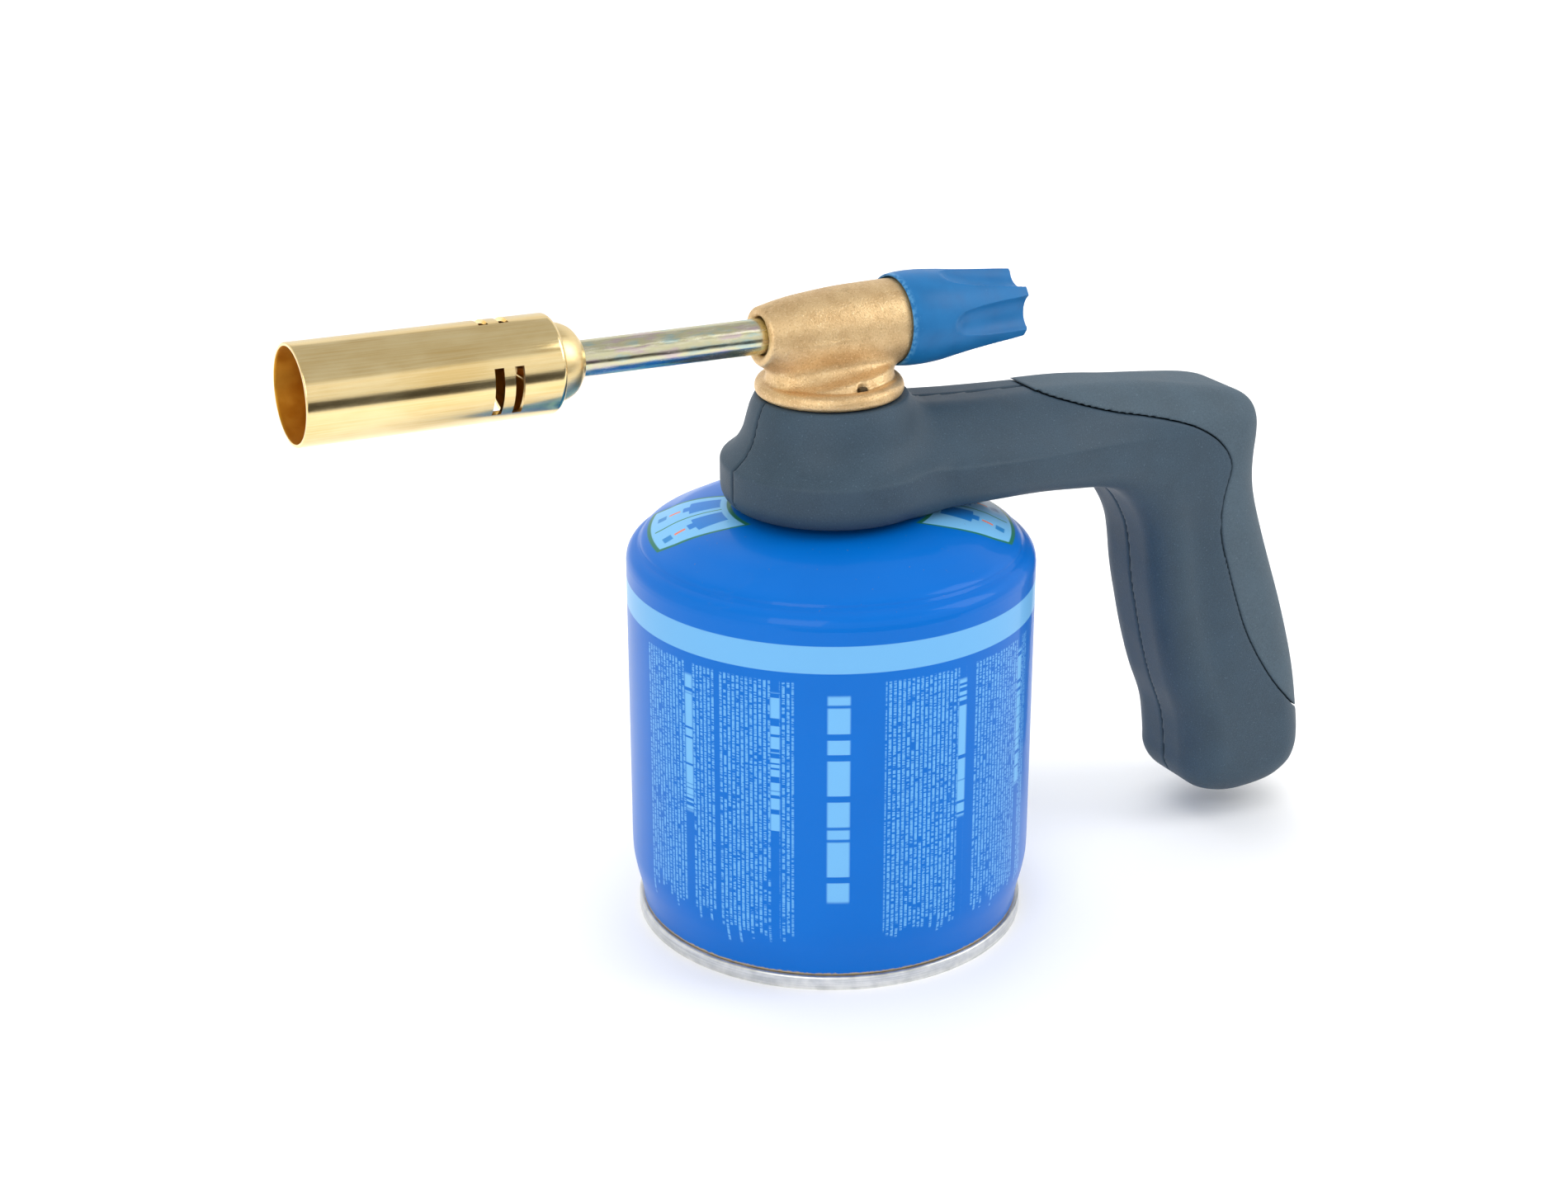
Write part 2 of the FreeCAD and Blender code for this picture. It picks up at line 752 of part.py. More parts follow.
keep(
    turned("InletSeal", [(2.6, 101.35), (4.4, 101.35), (4.4, 102.85), (2.6, 102.85)]),
    "inlet_seal",
)
keep(
    turned(
        "InletPusher",
        [
            (0.8, d.boss_top),
            (1.5, d.boss_top),
            (1.5, 111.8),
            (0.8, 111.8),
        ],
    ),
    "inlet_pusher",
)
keep(cylinder("InletFilter", 2.1, 3.4, (0, 0, 112.1)), "inlet_filter")

# Burner: a steel tube carries a brass dome, a slotted barrel and the gas jet.
keep(
    on_barrel(
        turned(
            "BurnerTube",
            [
                (d.tube_bore, d.tube_front),
                (d.tube_radius, d.tube_front),
                (d.tube_radius, d.tube_rear),
                (d.tube_bore, d.tube_rear),
            ],
        )
    ),
    "burner_tube",
)
keep(
    on_barrel(
        turned(
            "GasJet",
            [
                (0.3, -73.0),
                (1.6, -73.0),
                (3.2, -71.4),
                (3.2, d.tube_front - 0.2),
                (d.tube_bore - 0.05, d.tube_front - 0.2),
                (d.tube_bore - 0.05, -61.0),
                (0.3, -61.0),
            ],
        )
    ),
    "gas_jet",
)
keep(
    on_barrel(
        turned(
            "BurnerDome",
            [
                (d.tube_radius + 0.05, -59.4),
                (4.9, -59.4),
                (6.0, -60.2),
                (7.0, -61.8),
                (7.6, -63.6),
                (7.85, d.burner_rear - 1.0),
                (d.burner_bore - 0.1, d.burner_rear - 1.0),
                (d.burner_bore - 0.1, d.burner_rear - 2.2),
                (6.9, d.burner_rear - 2.2),
                (6.9, -65.2),
                (4.8, -62.0),
                (d.tube_radius + 0.05, -62.0),
            ],
        )
    ),
    "burner_dome",
)
burner_blank = turned(
    "BurnerBlank",
    [
        (d.burner_bore, d.burner_mouth),
        (d.burner_radius, d.burner_mouth),
        (d.burner_radius, d.burner_rear),
        (7.9, d.burner_rear),
        (7.9, d.burner_rear - 0.9),
        (d.burner_bore, d.burner_rear - 0.9),
    ],
    [(d.burner_radius, d.burner_rear, 1.5), (d.burner_radius, d.burner_mouth, 0.3)],
)
slots = []
for row, position in enumerate((d.slot_first, d.slot_second)):
    for number in range(3):
        slot = doc.addObject("Part::Cylinder", "Slot%d%d" % (row, number))
        bind(slot, "Radius", d.burner_radius + 2)
        bind(slot, "Height", d.slot_width)
        bind(slot, "Angle", d.slot_arc)
        start = -78.0 + 120.0 * number - d.slot_arc.value / 2.0
        slot.Placement = FreeCAD.Placement(
            FreeCAD.Vector(0, 0, position.value - d.slot_width.value / 2.0),
            FreeCAD.Rotation(UP, start),
        )
        slot.setExpression(".Placement.Base.z", (position - d.slot_width / 2.0).text)
        slots.append(slot)
keep(on_barrel(cut("BurnerBarrel", burner_blank, slots)), "burner_barrel")

holder_blank = cylinder("HolderBlank", d.burner_bore - 0.05, 2.5, (0, 0, -96.0))
holder_holes = [cylinder("HolderCentre", 3.2, 6.0, (0, 0, -98.0))]
for number in range(6):
    angle = math.radians(60.0 * number)
    holder_holes.append(
        cylinder(
            "HolderHole%d" % number,
            1.4,
            6.0,
            (6.2 * math.cos(angle), 6.2 * math.sin(angle), -98.0),
        )
    )
keep(on_barrel(cut("FlameHolder", holder_blank, holder_holes)), "flame_holder")

# Needle valve: a gland nut guides the spindle, a clip and the knob sit on it.
keep(
    on_barrel(
        turned(
            "GlandNut",
            [
                (d.spindle_radius + d.running_gap, 9.2),
                (4.5, 9.2),
                (4.5, d.body_rear + 0.2),
                (5.6, d.body_rear + 0.2),
                (5.6, 19.6),
                (d.spindle_radius + d.running_gap, 19.6),
            ],
            [(5.6, 19.6, 0.6)],
        )
    ),
    "gland_nut",
)
keep(
    on_barrel(
        turned(
            "NeedleSpindle",
            [
                (0, d.seat_position - 0.9),
                (0.75, d.seat_position + 0.2),
                (d.spindle_radius, d.seat_position + 1.4),
                (d.spindle_radius, 3.4),
                (1.5, 3.4),
                (1.5, 5.0),
                (d.spindle_radius, 5.0),
                (d.spindle_radius, 44.0),
                (0, 44.0),
            ],
        )
    ),
    "needle_spindle",
)
keep(
    on_barrel(turned("SpindleSeal", [(1.55, 3.5), (2.92, 3.5), (2.92, 4.9), (1.55, 4.9)])),
    "spindle_seal",
)
keep(
    on_barrel(turned("KnobClip", [(2.03, 22.4), (3.8, 22.4), (3.8, 23.4), (2.03, 23.4)])),
    "knob_clip",
)
knob_blank = turned(
    "KnobBlank",
    [
        (9.35, d.knob_front),
        (d.knob_lip_radius, d.knob_front),
        (d.knob_bulge_radius, 18.6),
        (d.knob_bulge_radius, 21.6),
        (9.85, 26.5),
        (9.4, 30.5),
        (8.95, 34.5),
        (8.6, 38.5),
        (8.3, 42.2),
        (d.knob_end_radius, d.knob_rear),
        (0, d.knob_rear),
        (0, 44.2),
        (2.03, 44.2),
        (2.03, 23.6),
        (4.6, 23.6),
        (4.6, 40.0),
        (5.6, 40.0),
        (7.8, 23.6),
        (9.35, 21.0),
    ],
    [(d.knob_lip_radius, d.knob_front, 0.3), (d.knob_end_radius, d.knob_rear, 0.7)],
)
flutes = []
for number in range(int(d.flute_count.value)):
    about = FreeCAD.Rotation(UP, -90.0 + 360.0 / d.flute_count.value * number)
    start = about.multVec(FreeCAD.Vector(10.05 + d.flute_radius.value, 0, 24.8))
    along = about.multVec(FreeCAD.Vector(-0.217, 0, 1.0))
    flute = doc.addObject("Part::Cylinder", "Flute%d" % number)
    bind(flute, "Radius", d.flute_radius)
    flute.Height = 26.0
    flute.Placement = FreeCAD.Placement(start, FreeCAD.Rotation(UP, along))
    flutes.append(flute)
keep(on_barrel(cut("Knob", knob_blank, flutes)), "knob")

doc.recompute()
for thing in doc.Objects:
    if "Invalid" in thing.State or "Error" in thing.State:
        raise RuntimeError("%s failed to build" % thing.Name)
os.makedirs("parts", exist_ok=True)
for label, thing in finished.items():
    if thing.Shape.isNull() or not thing.Shape.isValid() or not thing.Shape.Solids:
        raise RuntimeError("%s has no valid solid" % label)
    thing.Shape.exportStep("parts/%s.step" % label)
    extent = thing.Shape.BoundBox
    print(
        "%-16s solids %d  volume %9.1f  x %7.1f %7.1f  z %6.1f %6.1f"
        % (
            label,
            len(thing.Shape.Solids),
            thing.Shape.Volume,
            extent.XMin,
            extent.XMax,
            extent.ZMin,
            extent.ZMax,
        )
    )
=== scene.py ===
"""Looks of a hand-held gas torch on a cartridge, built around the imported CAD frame."""

import json
import math
import bmesh
import bpy
import numpy as np
from mathutils import Matrix, Vector


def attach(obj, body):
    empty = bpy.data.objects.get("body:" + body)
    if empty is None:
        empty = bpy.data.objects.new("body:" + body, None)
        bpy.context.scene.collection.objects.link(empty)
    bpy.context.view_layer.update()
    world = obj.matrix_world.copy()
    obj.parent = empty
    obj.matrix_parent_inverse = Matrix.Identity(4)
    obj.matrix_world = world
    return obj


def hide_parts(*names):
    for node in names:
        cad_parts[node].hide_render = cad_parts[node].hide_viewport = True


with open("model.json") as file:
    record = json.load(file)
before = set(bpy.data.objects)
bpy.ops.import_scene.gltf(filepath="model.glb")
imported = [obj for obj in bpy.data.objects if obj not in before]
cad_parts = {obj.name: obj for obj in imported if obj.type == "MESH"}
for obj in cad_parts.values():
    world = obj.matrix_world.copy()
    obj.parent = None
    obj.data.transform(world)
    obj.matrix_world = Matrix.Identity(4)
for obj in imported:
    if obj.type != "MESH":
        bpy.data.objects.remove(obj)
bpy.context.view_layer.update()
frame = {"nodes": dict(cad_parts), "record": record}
nodes = frame["nodes"]

# Shapes and paint are in millimetres, and MM turns them into metres. The floor, the lights,
# the camera and the distances of bumps are in metres.
MM = 0.001
# The barrel's axis rises towards the burner by TILT and meets the cartridge's at AXIS_HEIGHT.
TILT = math.radians(1.4)
AXIS_HEIGHT = 135.9
CAN_RADIUS = 45.0


# ---------------------------------------------------------------- curves and profiles
def through(points, count=6):
    """A smooth open curve through the points, with count short steps in each span."""
    p = np.array(points, float)
    p = np.vstack([2 * p[0] - p[1], p, 2 * p[-1] - p[-2]])
    out = []
    for a, b, c, d in zip(p, p[1:], p[2:], p[3:]):
        knots = [0.0]
        for u, v in ((a, b), (b, c), (c, d)):
            knots.append(knots[-1] + max(np.linalg.norm(v - u), 1e-6) ** 0.5)
        t0, t1, t2, t3 = knots
        for t in np.linspace(t1, t2, count, endpoint=False):
            ab = (t1 - t) / (t1 - t0) * a + (t - t0) / (t1 - t0) * b
            bc = (t2 - t) / (t2 - t1) * b + (t - t1) / (t2 - t1) * c
            cd = (t3 - t) / (t3 - t2) * c + (t - t2) / (t3 - t2) * d
            abc = (t2 - t) / (t2 - t0) * ab + (t - t0) / (t2 - t0) * bc
            bcd = (t3 - t) / (t3 - t1) * bc + (t - t1) / (t3 - t1) * cd
            out.append((t2 - t) / (t2 - t1) * abc + (t - t1) / (t2 - t1) * bcd)
    out.append(p[-2])
    return [tuple(q) for q in out]


def rounded(corners, steps=6):
    """A run of straight lines whose corners (u, v, radius) are rounded by arcs."""
    out = []
    for k, corner in enumerate(corners):
        here = np.array(corner[:2], float)
        radius = corner[2] if len(corner) > 2 else 0
        if radius == 0 or k in (0, len(corners) - 1):
            out.append(tuple(here))
            continue
        back = np.array(corners[k - 1][:2]) - here
        on = np.array(corners[k + 1][:2]) - here
        back /= np.linalg.norm(back)
        on /= np.linalg.norm(on)
        half = math.acos(max(-1, min(1, float(back @ on)))) / 2
        reach = radius / math.tan(half)
        middle = here + (back + on) / np.linalg.norm(back + on) * radius / math.sin(half)
        a = here + back * reach - middle
        b = here + on * reach - middle
        start = math.atan2(a[1], a[0])
        sweep = (math.atan2(b[1], b[0]) - start + math.pi) % (2 * math.pi) - math.pi
        for n in range(steps + 1):
            angle = start + sweep * n / steps
            out.append(tuple(middle + radius * np.array([math.cos(angle), math.sin(angle)])))
    return out


# ---------------------------------------------------------------- meshes
def along_barrel(points):
    """Points (x across and down, y across, s along) on the barrel's axis, in the row frame."""
    p = np.asarray(points, float)
    c, s = math.cos(TILT), math.sin(TILT)
    x = p[:, 2] * c - p[:, 0] * s
    z = AXIS_HEIGHT - p[:, 2] * s - p[:, 0] * c
    return np.stack([x, p[:, 1], z], 1)


def add_mesh(name, points, faces, body, material, sharp=None, normals=None):
    """A mesh piece from points in millimetres, riding on a body."""
    mesh = bpy.data.meshes.new(name)
    mesh.from_pydata((np.asarray(points, float) * MM).tolist(), [], [list(f) for f in faces])
    mesh.polygons.foreach_set("use_smooth", [True] * len(mesh.polygons))
    if sharp is not None:
        mesh.set_sharp_from_angle(angle=math.radians(sharp))
    if normals is not None:
        mesh.normals_split_custom_set_from_vertices(normals.tolist())
    mesh.materials.append(material)
    mesh.update()
    piece = bpy.data.objects.new(name, mesh)
    bpy.context.scene.collection.objects.link(piece)
    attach(piece, body)
    return piece


def lathe(profile, segments, closed=False):
    """Points and faces of a profile of (radius, height) turned about the height axis."""
    angles = np.linspace(0, 2 * math.pi, segments, endpoint=False)
    points = []
    rings = []
    for r, h in profile:
        if r < 1e-6:
            rings.append([len(points)])
            points.append((0, 0, h))
        else:
            rings.append(list(range(len(points), len(points) + segments)))
            points.extend((r * math.cos(a), r * math.sin(a), h) for a in angles)
    pairs = list(zip(rings, rings[1:]))
    if closed:
        pairs.append((rings[-1], rings[0]))
    faces = []
    for low, high in pairs:
        for k in range(segments):
            n = (k + 1) % segments
            if len(low) == 1:
                faces.append((low[0], high[n], high[k]))
            elif len(high) == 1:
                faces.append((low[k], low[n], high[0]))
            else:
                faces.append((low[k], low[n], high[n], high[k]))
    return np.array(points), faces


def welded(points, faces, distance=0.002):
    """The same points and faces with points closer than distance merged."""
    work = bmesh.new()
    vertices = [work.verts.new(p) for p in points]
    for face in faces:
        try:
            work.faces.new([vertices[k] for k in face])
        except ValueError:
            pass
    bmesh.ops.remove_doubles(work, verts=work.verts, dist=distance)
    bmesh.ops.recalc_face_normals(work, faces=work.faces)
    work.verts.index_update()
    out = np.array([v.co[:] for v in work.verts])
    kept = [tuple(v.index for v in f.verts) for f in work.faces]
    work.free()
    return out, kept


# ---------------------------------------------------------------- surfaces of sampled fields
class Grid:
    """A block of sample points, in millimetres."""

    def __init__(self, low, high, step):
        self.low = np.array(low, float)
        self.step = step
        spans = [np.arange(a, b + step, step) for a, b in zip(low, high)]
        self.x, self.y, self.z = np.meshgrid(*spans, indexing="ij", sparse=True)
        self.side_x, self.side_z = np.meshgrid(spans[0], spans[2], indexing="ij")


def surface(field, grid):
    """Points, faces and normals of the surface where the sampled field is zero."""
    shape = tuple(n - 1 for n in field.shape)
    total = np.zeros(shape + (3,), np.float32)
    count = np.zeros(shape, np.float32)
    crossings = []
    for axis in range(3):
        u, v = (axis + 1) % 3, (axis + 2) % 3
        low = [slice(None)] * 3
        high = [slice(None)] * 3
        low[axis] = slice(0, -1)
        high[axis] = slice(1, None)
        a, b = field[tuple(low)], field[tuple(high)]
        crossed = (a < 0) != (b < 0)
        share = np.where(crossed, a / np.where(crossed, a - b, 1), 0)
        crossings.append((crossed, a < 0))
        for du in (0, 1):
            for dv in (0, 1):
                part = [slice(None)] * 3
                part[u] = slice(du, du + shape[u])
                part[v] = slice(dv, dv + shape[v])
                here = crossed[tuple(part)]
                count += here
                total[..., axis] += share[tuple(part)]
                total[..., u] += du * here
                total[..., v] += dv * here
    used = count > 0
    cells = np.argwhere(used)
    index = np.full(shape, -1)
    index[used] = np.arange(len(cells))
    local = cells + total[used] / count[used][:, None]
    faces = []
    for axis in range(3):
        u, v = (axis + 1) % 3, (axis + 2) % 3
        crossed, inside = crossings[axis]
        at = np.argwhere(crossed)
        keep = (at[:, u] > 0) & (at[:, v] > 0) & (at[:, u] < shape[u]) & (at[:, v] < shape[v])
        at = at[keep]
        du, dv = np.eye(3, dtype=int)[u], np.eye(3, dtype=int)[v]
        quad = [index[tuple((at + o).T)] for o in (-du - dv, -dv, 0 * du, -du)]
        quad = np.stack(quad, 1)
        out = inside[tuple(at.T)]
        quad[~out] = quad[~out][:, ::-1]
        faces.append(quad)
    slopes = np.gradient(field)
    base = np.clip(np.floor(local).astype(int), 0, np.array(field.shape) - 2)
    part = local - base
    normals = np.zeros((len(local), 3))
    for corner in range(8):
        offset = np.array([corner >> 2 & 1, corner >> 1 & 1, corner & 1])
        weight = np.prod(np.where(offset, part, 1 - part), 1)
        at = tuple((base + offset).T)
        for axis in range(3):
            normals[:, axis] += weight * slopes[axis][at]
    normals /= np.maximum(np.linalg.norm(normals, axis=1), 1e-9)[:, None]
    return grid.low + local * grid.step, np.concatenate(faces), normals


def outline_distance(outline, u, v):
    """Signed distance from each (u, v) to a closed outline, negative inside."""
    best = np.full(u.shape, 1e12)
    inside = np.zeros(u.shape, bool)
    for (au, av), (bu, bv) in zip(outline, outline[1:] + outline[:1]):
        eu, ev = bu - au, bv - av
        length = eu * eu + ev * ev
        if length < 1e-12:
            continue
        share = np.clip(((u - au) * eu + (v - av) * ev) / length, 0, 1)
        best = np.minimum(best, (u - au - share * eu) ** 2 + (v - av - share * ev) ** 2)
        if ev != 0:
            inside ^= ((av <= v) != (bv <= v)) & (u < au + (v - av) * eu / ev)
    return np.where(inside, -1, 1) * np.sqrt(best)


TABLE_STEP = 0.2


def turned_distance(profile, radius, height):
    """Signed distance to a solid turned from a closed (radius, height) profile.

    The distances are read from a table with a sample every TABLE_STEP.
    """
    r = np.arange(0, float(radius.max()) + 5 * TABLE_STEP, TABLE_STEP)
    h = np.arange(float(height.min()) - 2 * TABLE_STEP, float(height.max()) + 4 * TABLE_STEP, TABLE_STEP)
    table = outline_distance(profile, *np.meshgrid(r, h, indexing="ij"))
    a = np.clip(radius / TABLE_STEP, 0, len(r) - 1.001)
    b = np.clip((height - h[0]) / TABLE_STEP, 0, len(h) - 1.001)
    i, j = a.astype(int), b.astype(int)
    a, b = a - i, b - j
    low = table[i, j] * (1 - b) + table[i, j + 1] * b
    high = table[i + 1, j] * (1 - b) + table[i + 1, j + 1] * b
    return low * (1 - a) + high * a


def soft_union(a, b, reach):
    """The union of two fields, blended over the given reach."""
    mix = np.clip(0.5 + 0.5 * (b - a) / reach, 0, 1)
    return b * (1 - mix) + a * mix - reach * mix * (1 - mix)


def round_both(a, b, radius):
    """The part inside both fields, with its edge rounded to the radius."""
    outside = np.sqrt(np.maximum(a + radius, 0) ** 2 + np.maximum(b + radius, 0) ** 2)
    return np.minimum(np.maximum(a, b), -radius) + outside


def ramp(value, start, end):
    """0 before start, 1 after end, smooth between."""
    t = np.clip((value - start) / (end - start), 0, 1)
    return t * t * (3 - 2 * t)


# ---------------------------------------------------------------- materials
class Number:
    """A value in a node tree that arithmetic can be done on."""

    def __init__(self, paint, source):
        self.paint = paint
        self.source = source

    def _do(self, operation, *others):
        return self.paint.math(operation, self, *others)

    def __add__(self, other):
        return self._do("ADD", other)

    def __sub__(self, other):
        return self._do("SUBTRACT", other)

    def __rsub__(self, other):
        return self.paint.math("SUBTRACT", other, self)

    def __mul__(self, other):
        return self._do("MULTIPLY", other)

    __radd__ = __add__
    __rmul__ = __mul__


class Paint:
    """A procedural material and the nodes it is made of. Lengths are in millimetres."""

    def __init__(self, name, **values):
        self.material = bpy.data.materials.new(name)
        self.material.use_nodes = True
        self.tree = self.material.node_tree
        self.shader = self.tree.nodes["Principled BSDF"]
        for key, value in values.items():
            self.shader.inputs[key].default_value = value
        place = self.tree.nodes.new("ShaderNodeTexCoord")
        scaled = self.tree.nodes.new("ShaderNodeVectorMath")
        scaled.operation = "SCALE"
        scaled.inputs["Scale"].default_value = 1000.0
        self.tree.links.new(place.outputs["Object"], scaled.inputs[0])
        self.place = scaled.outputs[0]

    def plug(self, value, socket):
        if isinstance(value, Number):
            self.tree.links.new(value.source, socket)
        elif isinstance(value, bpy.types.NodeSocket):
            self.tree.links.new(value, socket)
        else:
            socket.default_value = value

    def math(self, operation, *values):
        node = self.tree.nodes.new("ShaderNodeMath")
        node.operation = operation
        for value, socket in zip(values, node.inputs):
            self.plug(value, socket)
        return Number(self, node.outputs[0])

    def axes(self):
        node = self.tree.nodes.new("ShaderNodeSeparateXYZ")
        self.tree.links.new(self.place, node.inputs[0])
        return [Number(self, o) for o in node.outputs]

    def vector(self, x, y, z):
        node = self.tree.nodes.new("ShaderNodeCombineXYZ")
        for value, socket in zip((x, y, z), node.inputs):
            self.plug(value, socket)
        return node.outputs[0]

    def noise(self, size, detail=2.0, stretch=(1, 1, 1), vector=None):
        """Noise whose features are about size across, stretched along some axes."""
        moved = self.tree.nodes.new("ShaderNodeVectorMath")
        moved.operation = "DIVIDE"
        self.tree.links.new(vector or self.place, moved.inputs[0])
        moved.inputs[1].default_value = [size * s for s in stretch]
        node = self.tree.nodes.new("ShaderNodeTexNoise")
        node.inputs["Scale"].default_value = 1.0
        node.inputs["Detail"].default_value = detail
        self.tree.links.new(moved.outputs[0], node.inputs["Vector"])
        return Number(self, node.outputs["Fac"])

    def between(self, value, low, high, out_low=0.0, out_high=1.0):
        """Value mapped smoothly from low..high to out_low..out_high."""
        node = self.tree.nodes.new("ShaderNodeMapRange")
        node.interpolation_type = "SMOOTHSTEP"
        self.plug(value, node.inputs["Value"])
        for key, number in zip(
            ("From Min", "From Max", "To Min", "To Max"), (low, high, out_low, out_high)
        ):
            node.inputs[key].default_value = number
        return Number(self, node.outputs["Result"])

    def window(self, value, low, high, soft=0.15):
        """1 where value is between low and high, which may be numbers or values."""
        above = self.between(value - low, -soft, soft)
        below = self.between(high - value, -soft, soft)
        return above * below

    def mix(self, factor, a, b):
        node = self.tree.nodes.new("ShaderNodeMix")
        node.data_type = "RGBA"
        self.plug(factor, node.inputs["Factor"])
        self.plug(a if not isinstance(a, tuple) else (*a, 1), node.inputs["A"])
        self.plug(b if not isinstance(b, tuple) else (*b, 1), node.inputs["B"])
        return node.outputs["Result"]

    def bump(self, height, strength, distance, after=None):
        """A bump normal. The distance is in metres, and after is a bump below this one."""
        node = self.tree.nodes.new("ShaderNodeBump")
        node.inputs["Strength"].default_value = strength
        node.inputs["Distance"].default_value = distance
        self.plug(height, node.inputs["Height"])
        if after is not None:
            self.tree.links.new(after, node.inputs["Normal"])
        return node.outputs["Normal"]

    def give(self, key, value):
        self.plug(value, self.shader.inputs[key])


def moulded(name, color, roughness, grain, depth):
    """A moulded plastic whose grain is that many millimetres across and depth metres deep."""
    paint = Paint(name, **{"IOR": 1.46, "Specular IOR Level": 0.30})
    fine = paint.noise(grain, 3.0)
    patch = paint.noise(9.0, 2.0)
    speck = paint.between(paint.noise(0.42, 1.0), 0.66, 0.76)
    dark = tuple(c * 0.88 for c in color)
    light = tuple(min(1, c * 1.12) for c in color)
    tone = paint.mix(paint.between(fine * 0.6 + patch * 0.4, 0.35, 0.65), dark, light)
    pale = tuple(min(1, c * 1.9 + 0.02) for c in color)
    paint.give("Base Color", paint.mix(speck * 0.4, tone, pale))
    paint.give("Roughness", paint.between(patch, 0.3, 0.7, roughness - 0.04, roughness + 0.05))
    paint.give("Normal", paint.bump(fine, 0.55, depth))
    return paint.material


def rubber():
    paint = Paint("seal_rubber", **{"IOR": 1.5})
    fine = paint.noise(0.3, 2.0)
    paint.give("Base Color", paint.mix(fine, (0.015, 0.015, 0.016), (0.035, 0.035, 0.036)))
    paint.give("Roughness", paint.between(fine, 0.3, 0.7, 0.6, 0.75))
    paint.give("Normal", paint.bump(fine, 0.3, 0.00005))
    return paint.material


def white_plastic():
    paint = Paint("white_plastic", **{"IOR": 1.5})
    patch = paint.noise(2.0, 2.0)
    paint.give("Base Color", paint.mix(patch, (0.74, 0.74, 0.71), (0.84, 0.84, 0.82)))
    paint.give("Roughness", paint.between(patch, 0.3, 0.7, 0.35, 0.5))
    return paint.material


def steel():
    paint = Paint("steel", **{"Metallic": 1.0})
    fine = paint.noise(0.25, 2.0)
    patch = paint.noise(1.6, 3.0)
    paint.give("Base Color", paint.mix(patch, (0.46, 0.47, 0.48), (0.66, 0.66, 0.65)))
    paint.give("Roughness", paint.between(patch, 0.3, 0.7, 0.26, 0.42))
    paint.give("Normal", paint.bump(fine, 0.2, 0.00003))
    return paint.material


def pin_steel():
    """The dark end of the roll pin in the flange."""
    paint = Paint("pin_steel", **{"Metallic": 0.9})
    patch = paint.noise(0.35, 3.0)
    paint.give("Base Color", paint.mix(patch, (0.03, 0.027, 0.022), (0.20, 0.16, 0.10)))
    paint.give("Roughness", paint.between(patch, 0.3, 0.7, 0.4, 0.7))
    return paint.material


def tinplate():
    paint = Paint("tinplate", **{"Metallic": 1.0})
    x, y, z = paint.axes()
    around = paint.math("ARCTAN2", y, x)
    drawn = paint.noise(1.0, 3.0, vector=paint.vector(around * 2.2, z * 3.0, 0.0))
    blotch = paint.noise(2.6, 4.0)
    tone = paint.between(drawn * 0.5 + blotch * 0.5, 0.35, 0.65)
    paint.give("Base Color", paint.mix(tone, (0.56, 0.57, 0.56), (0.80, 0.80, 0.78)))
    paint.give("Roughness", paint.between(blotch, 0.3, 0.7, 0.28, 0.46))
    paint.give("Normal", paint.bump(blotch, 0.25, 0.0001))
    return paint.material


def cast_brass():
    paint = Paint("cast_brass", **{"Metallic": 0.82, "Specular IOR Level": 0.4})
    grain = paint.noise(0.42, 3.0)
    fine = paint.noise(0.18, 2.0)
    patch = paint.noise(4.5, 4.0)
    tone = paint.mix(paint.between(patch, 0.3, 0.7), (0.66, 0.440, 0.215), (0.80, 0.570, 0.300))
    crest = paint.between(grain * 0.6 + fine * 0.4, 0.54, 0.66)
    pit = paint.between(grain, 0.30, 0.42, 1.0, 0.0)
    tone = paint.mix(crest * 0.75, tone, (0.95, 0.74, 0.44))
    tone = paint.mix(pit * 0.35, tone, (0.30, 0.180, 0.07))
    stain = paint.between(paint.noise(3.2, 5.0), 0.60, 0.72)
    paint.give("Base Color", paint.mix(stain * 0.18, tone, (0.24, 0.150, 0.07)))
    paint.give("Roughness", paint.between(grain, 0.3, 0.7, 0.50, 0.36))
    first = paint.bump(patch, 0.25, 0.0006)
    paint.give("Normal", paint.bump(grain * 0.7 + fine * 0.3, 0.75, 0.00022, first))
    return paint.material


def drawn_brass(name, along, rough, matt=0.0):
    """Brass with faint lines along it, longer for a smaller along, and satin for a larger matt."""
    paint = Paint(name, **{"Metallic": 1.0})
    x, y, z = paint.axes()
    slope = (z - AXIS_HEIGHT) + x * math.tan(TILT)
    around = paint.math("ARCTAN2", y, slope)
    lines = paint.noise(1.0, 4.0, vector=paint.vector(x * along, around * 26.0, 0.0))
    blotch = paint.noise(6.0, 4.0, (2.5, 1, 1))
    tone = paint.mix(paint.between(blotch, 0.3, 0.7), (0.82, 0.590, 0.245), (0.95, 0.745, 0.380))
    tone = paint.mix(paint.between(lines, 0.35, 0.7) * 0.4, tone, (0.98, 0.82, 0.48))
    paint.give("Base Color", tone)
    paint.give("Roughness", paint.between(lines * 0.5 + blotch * 0.5, 0.3, 0.7, rough, rough + 0.10 + matt))
    paint.give("Normal", paint.bump(lines, 0.16, 0.00004 + matt * 0.0002))
    return paint.material


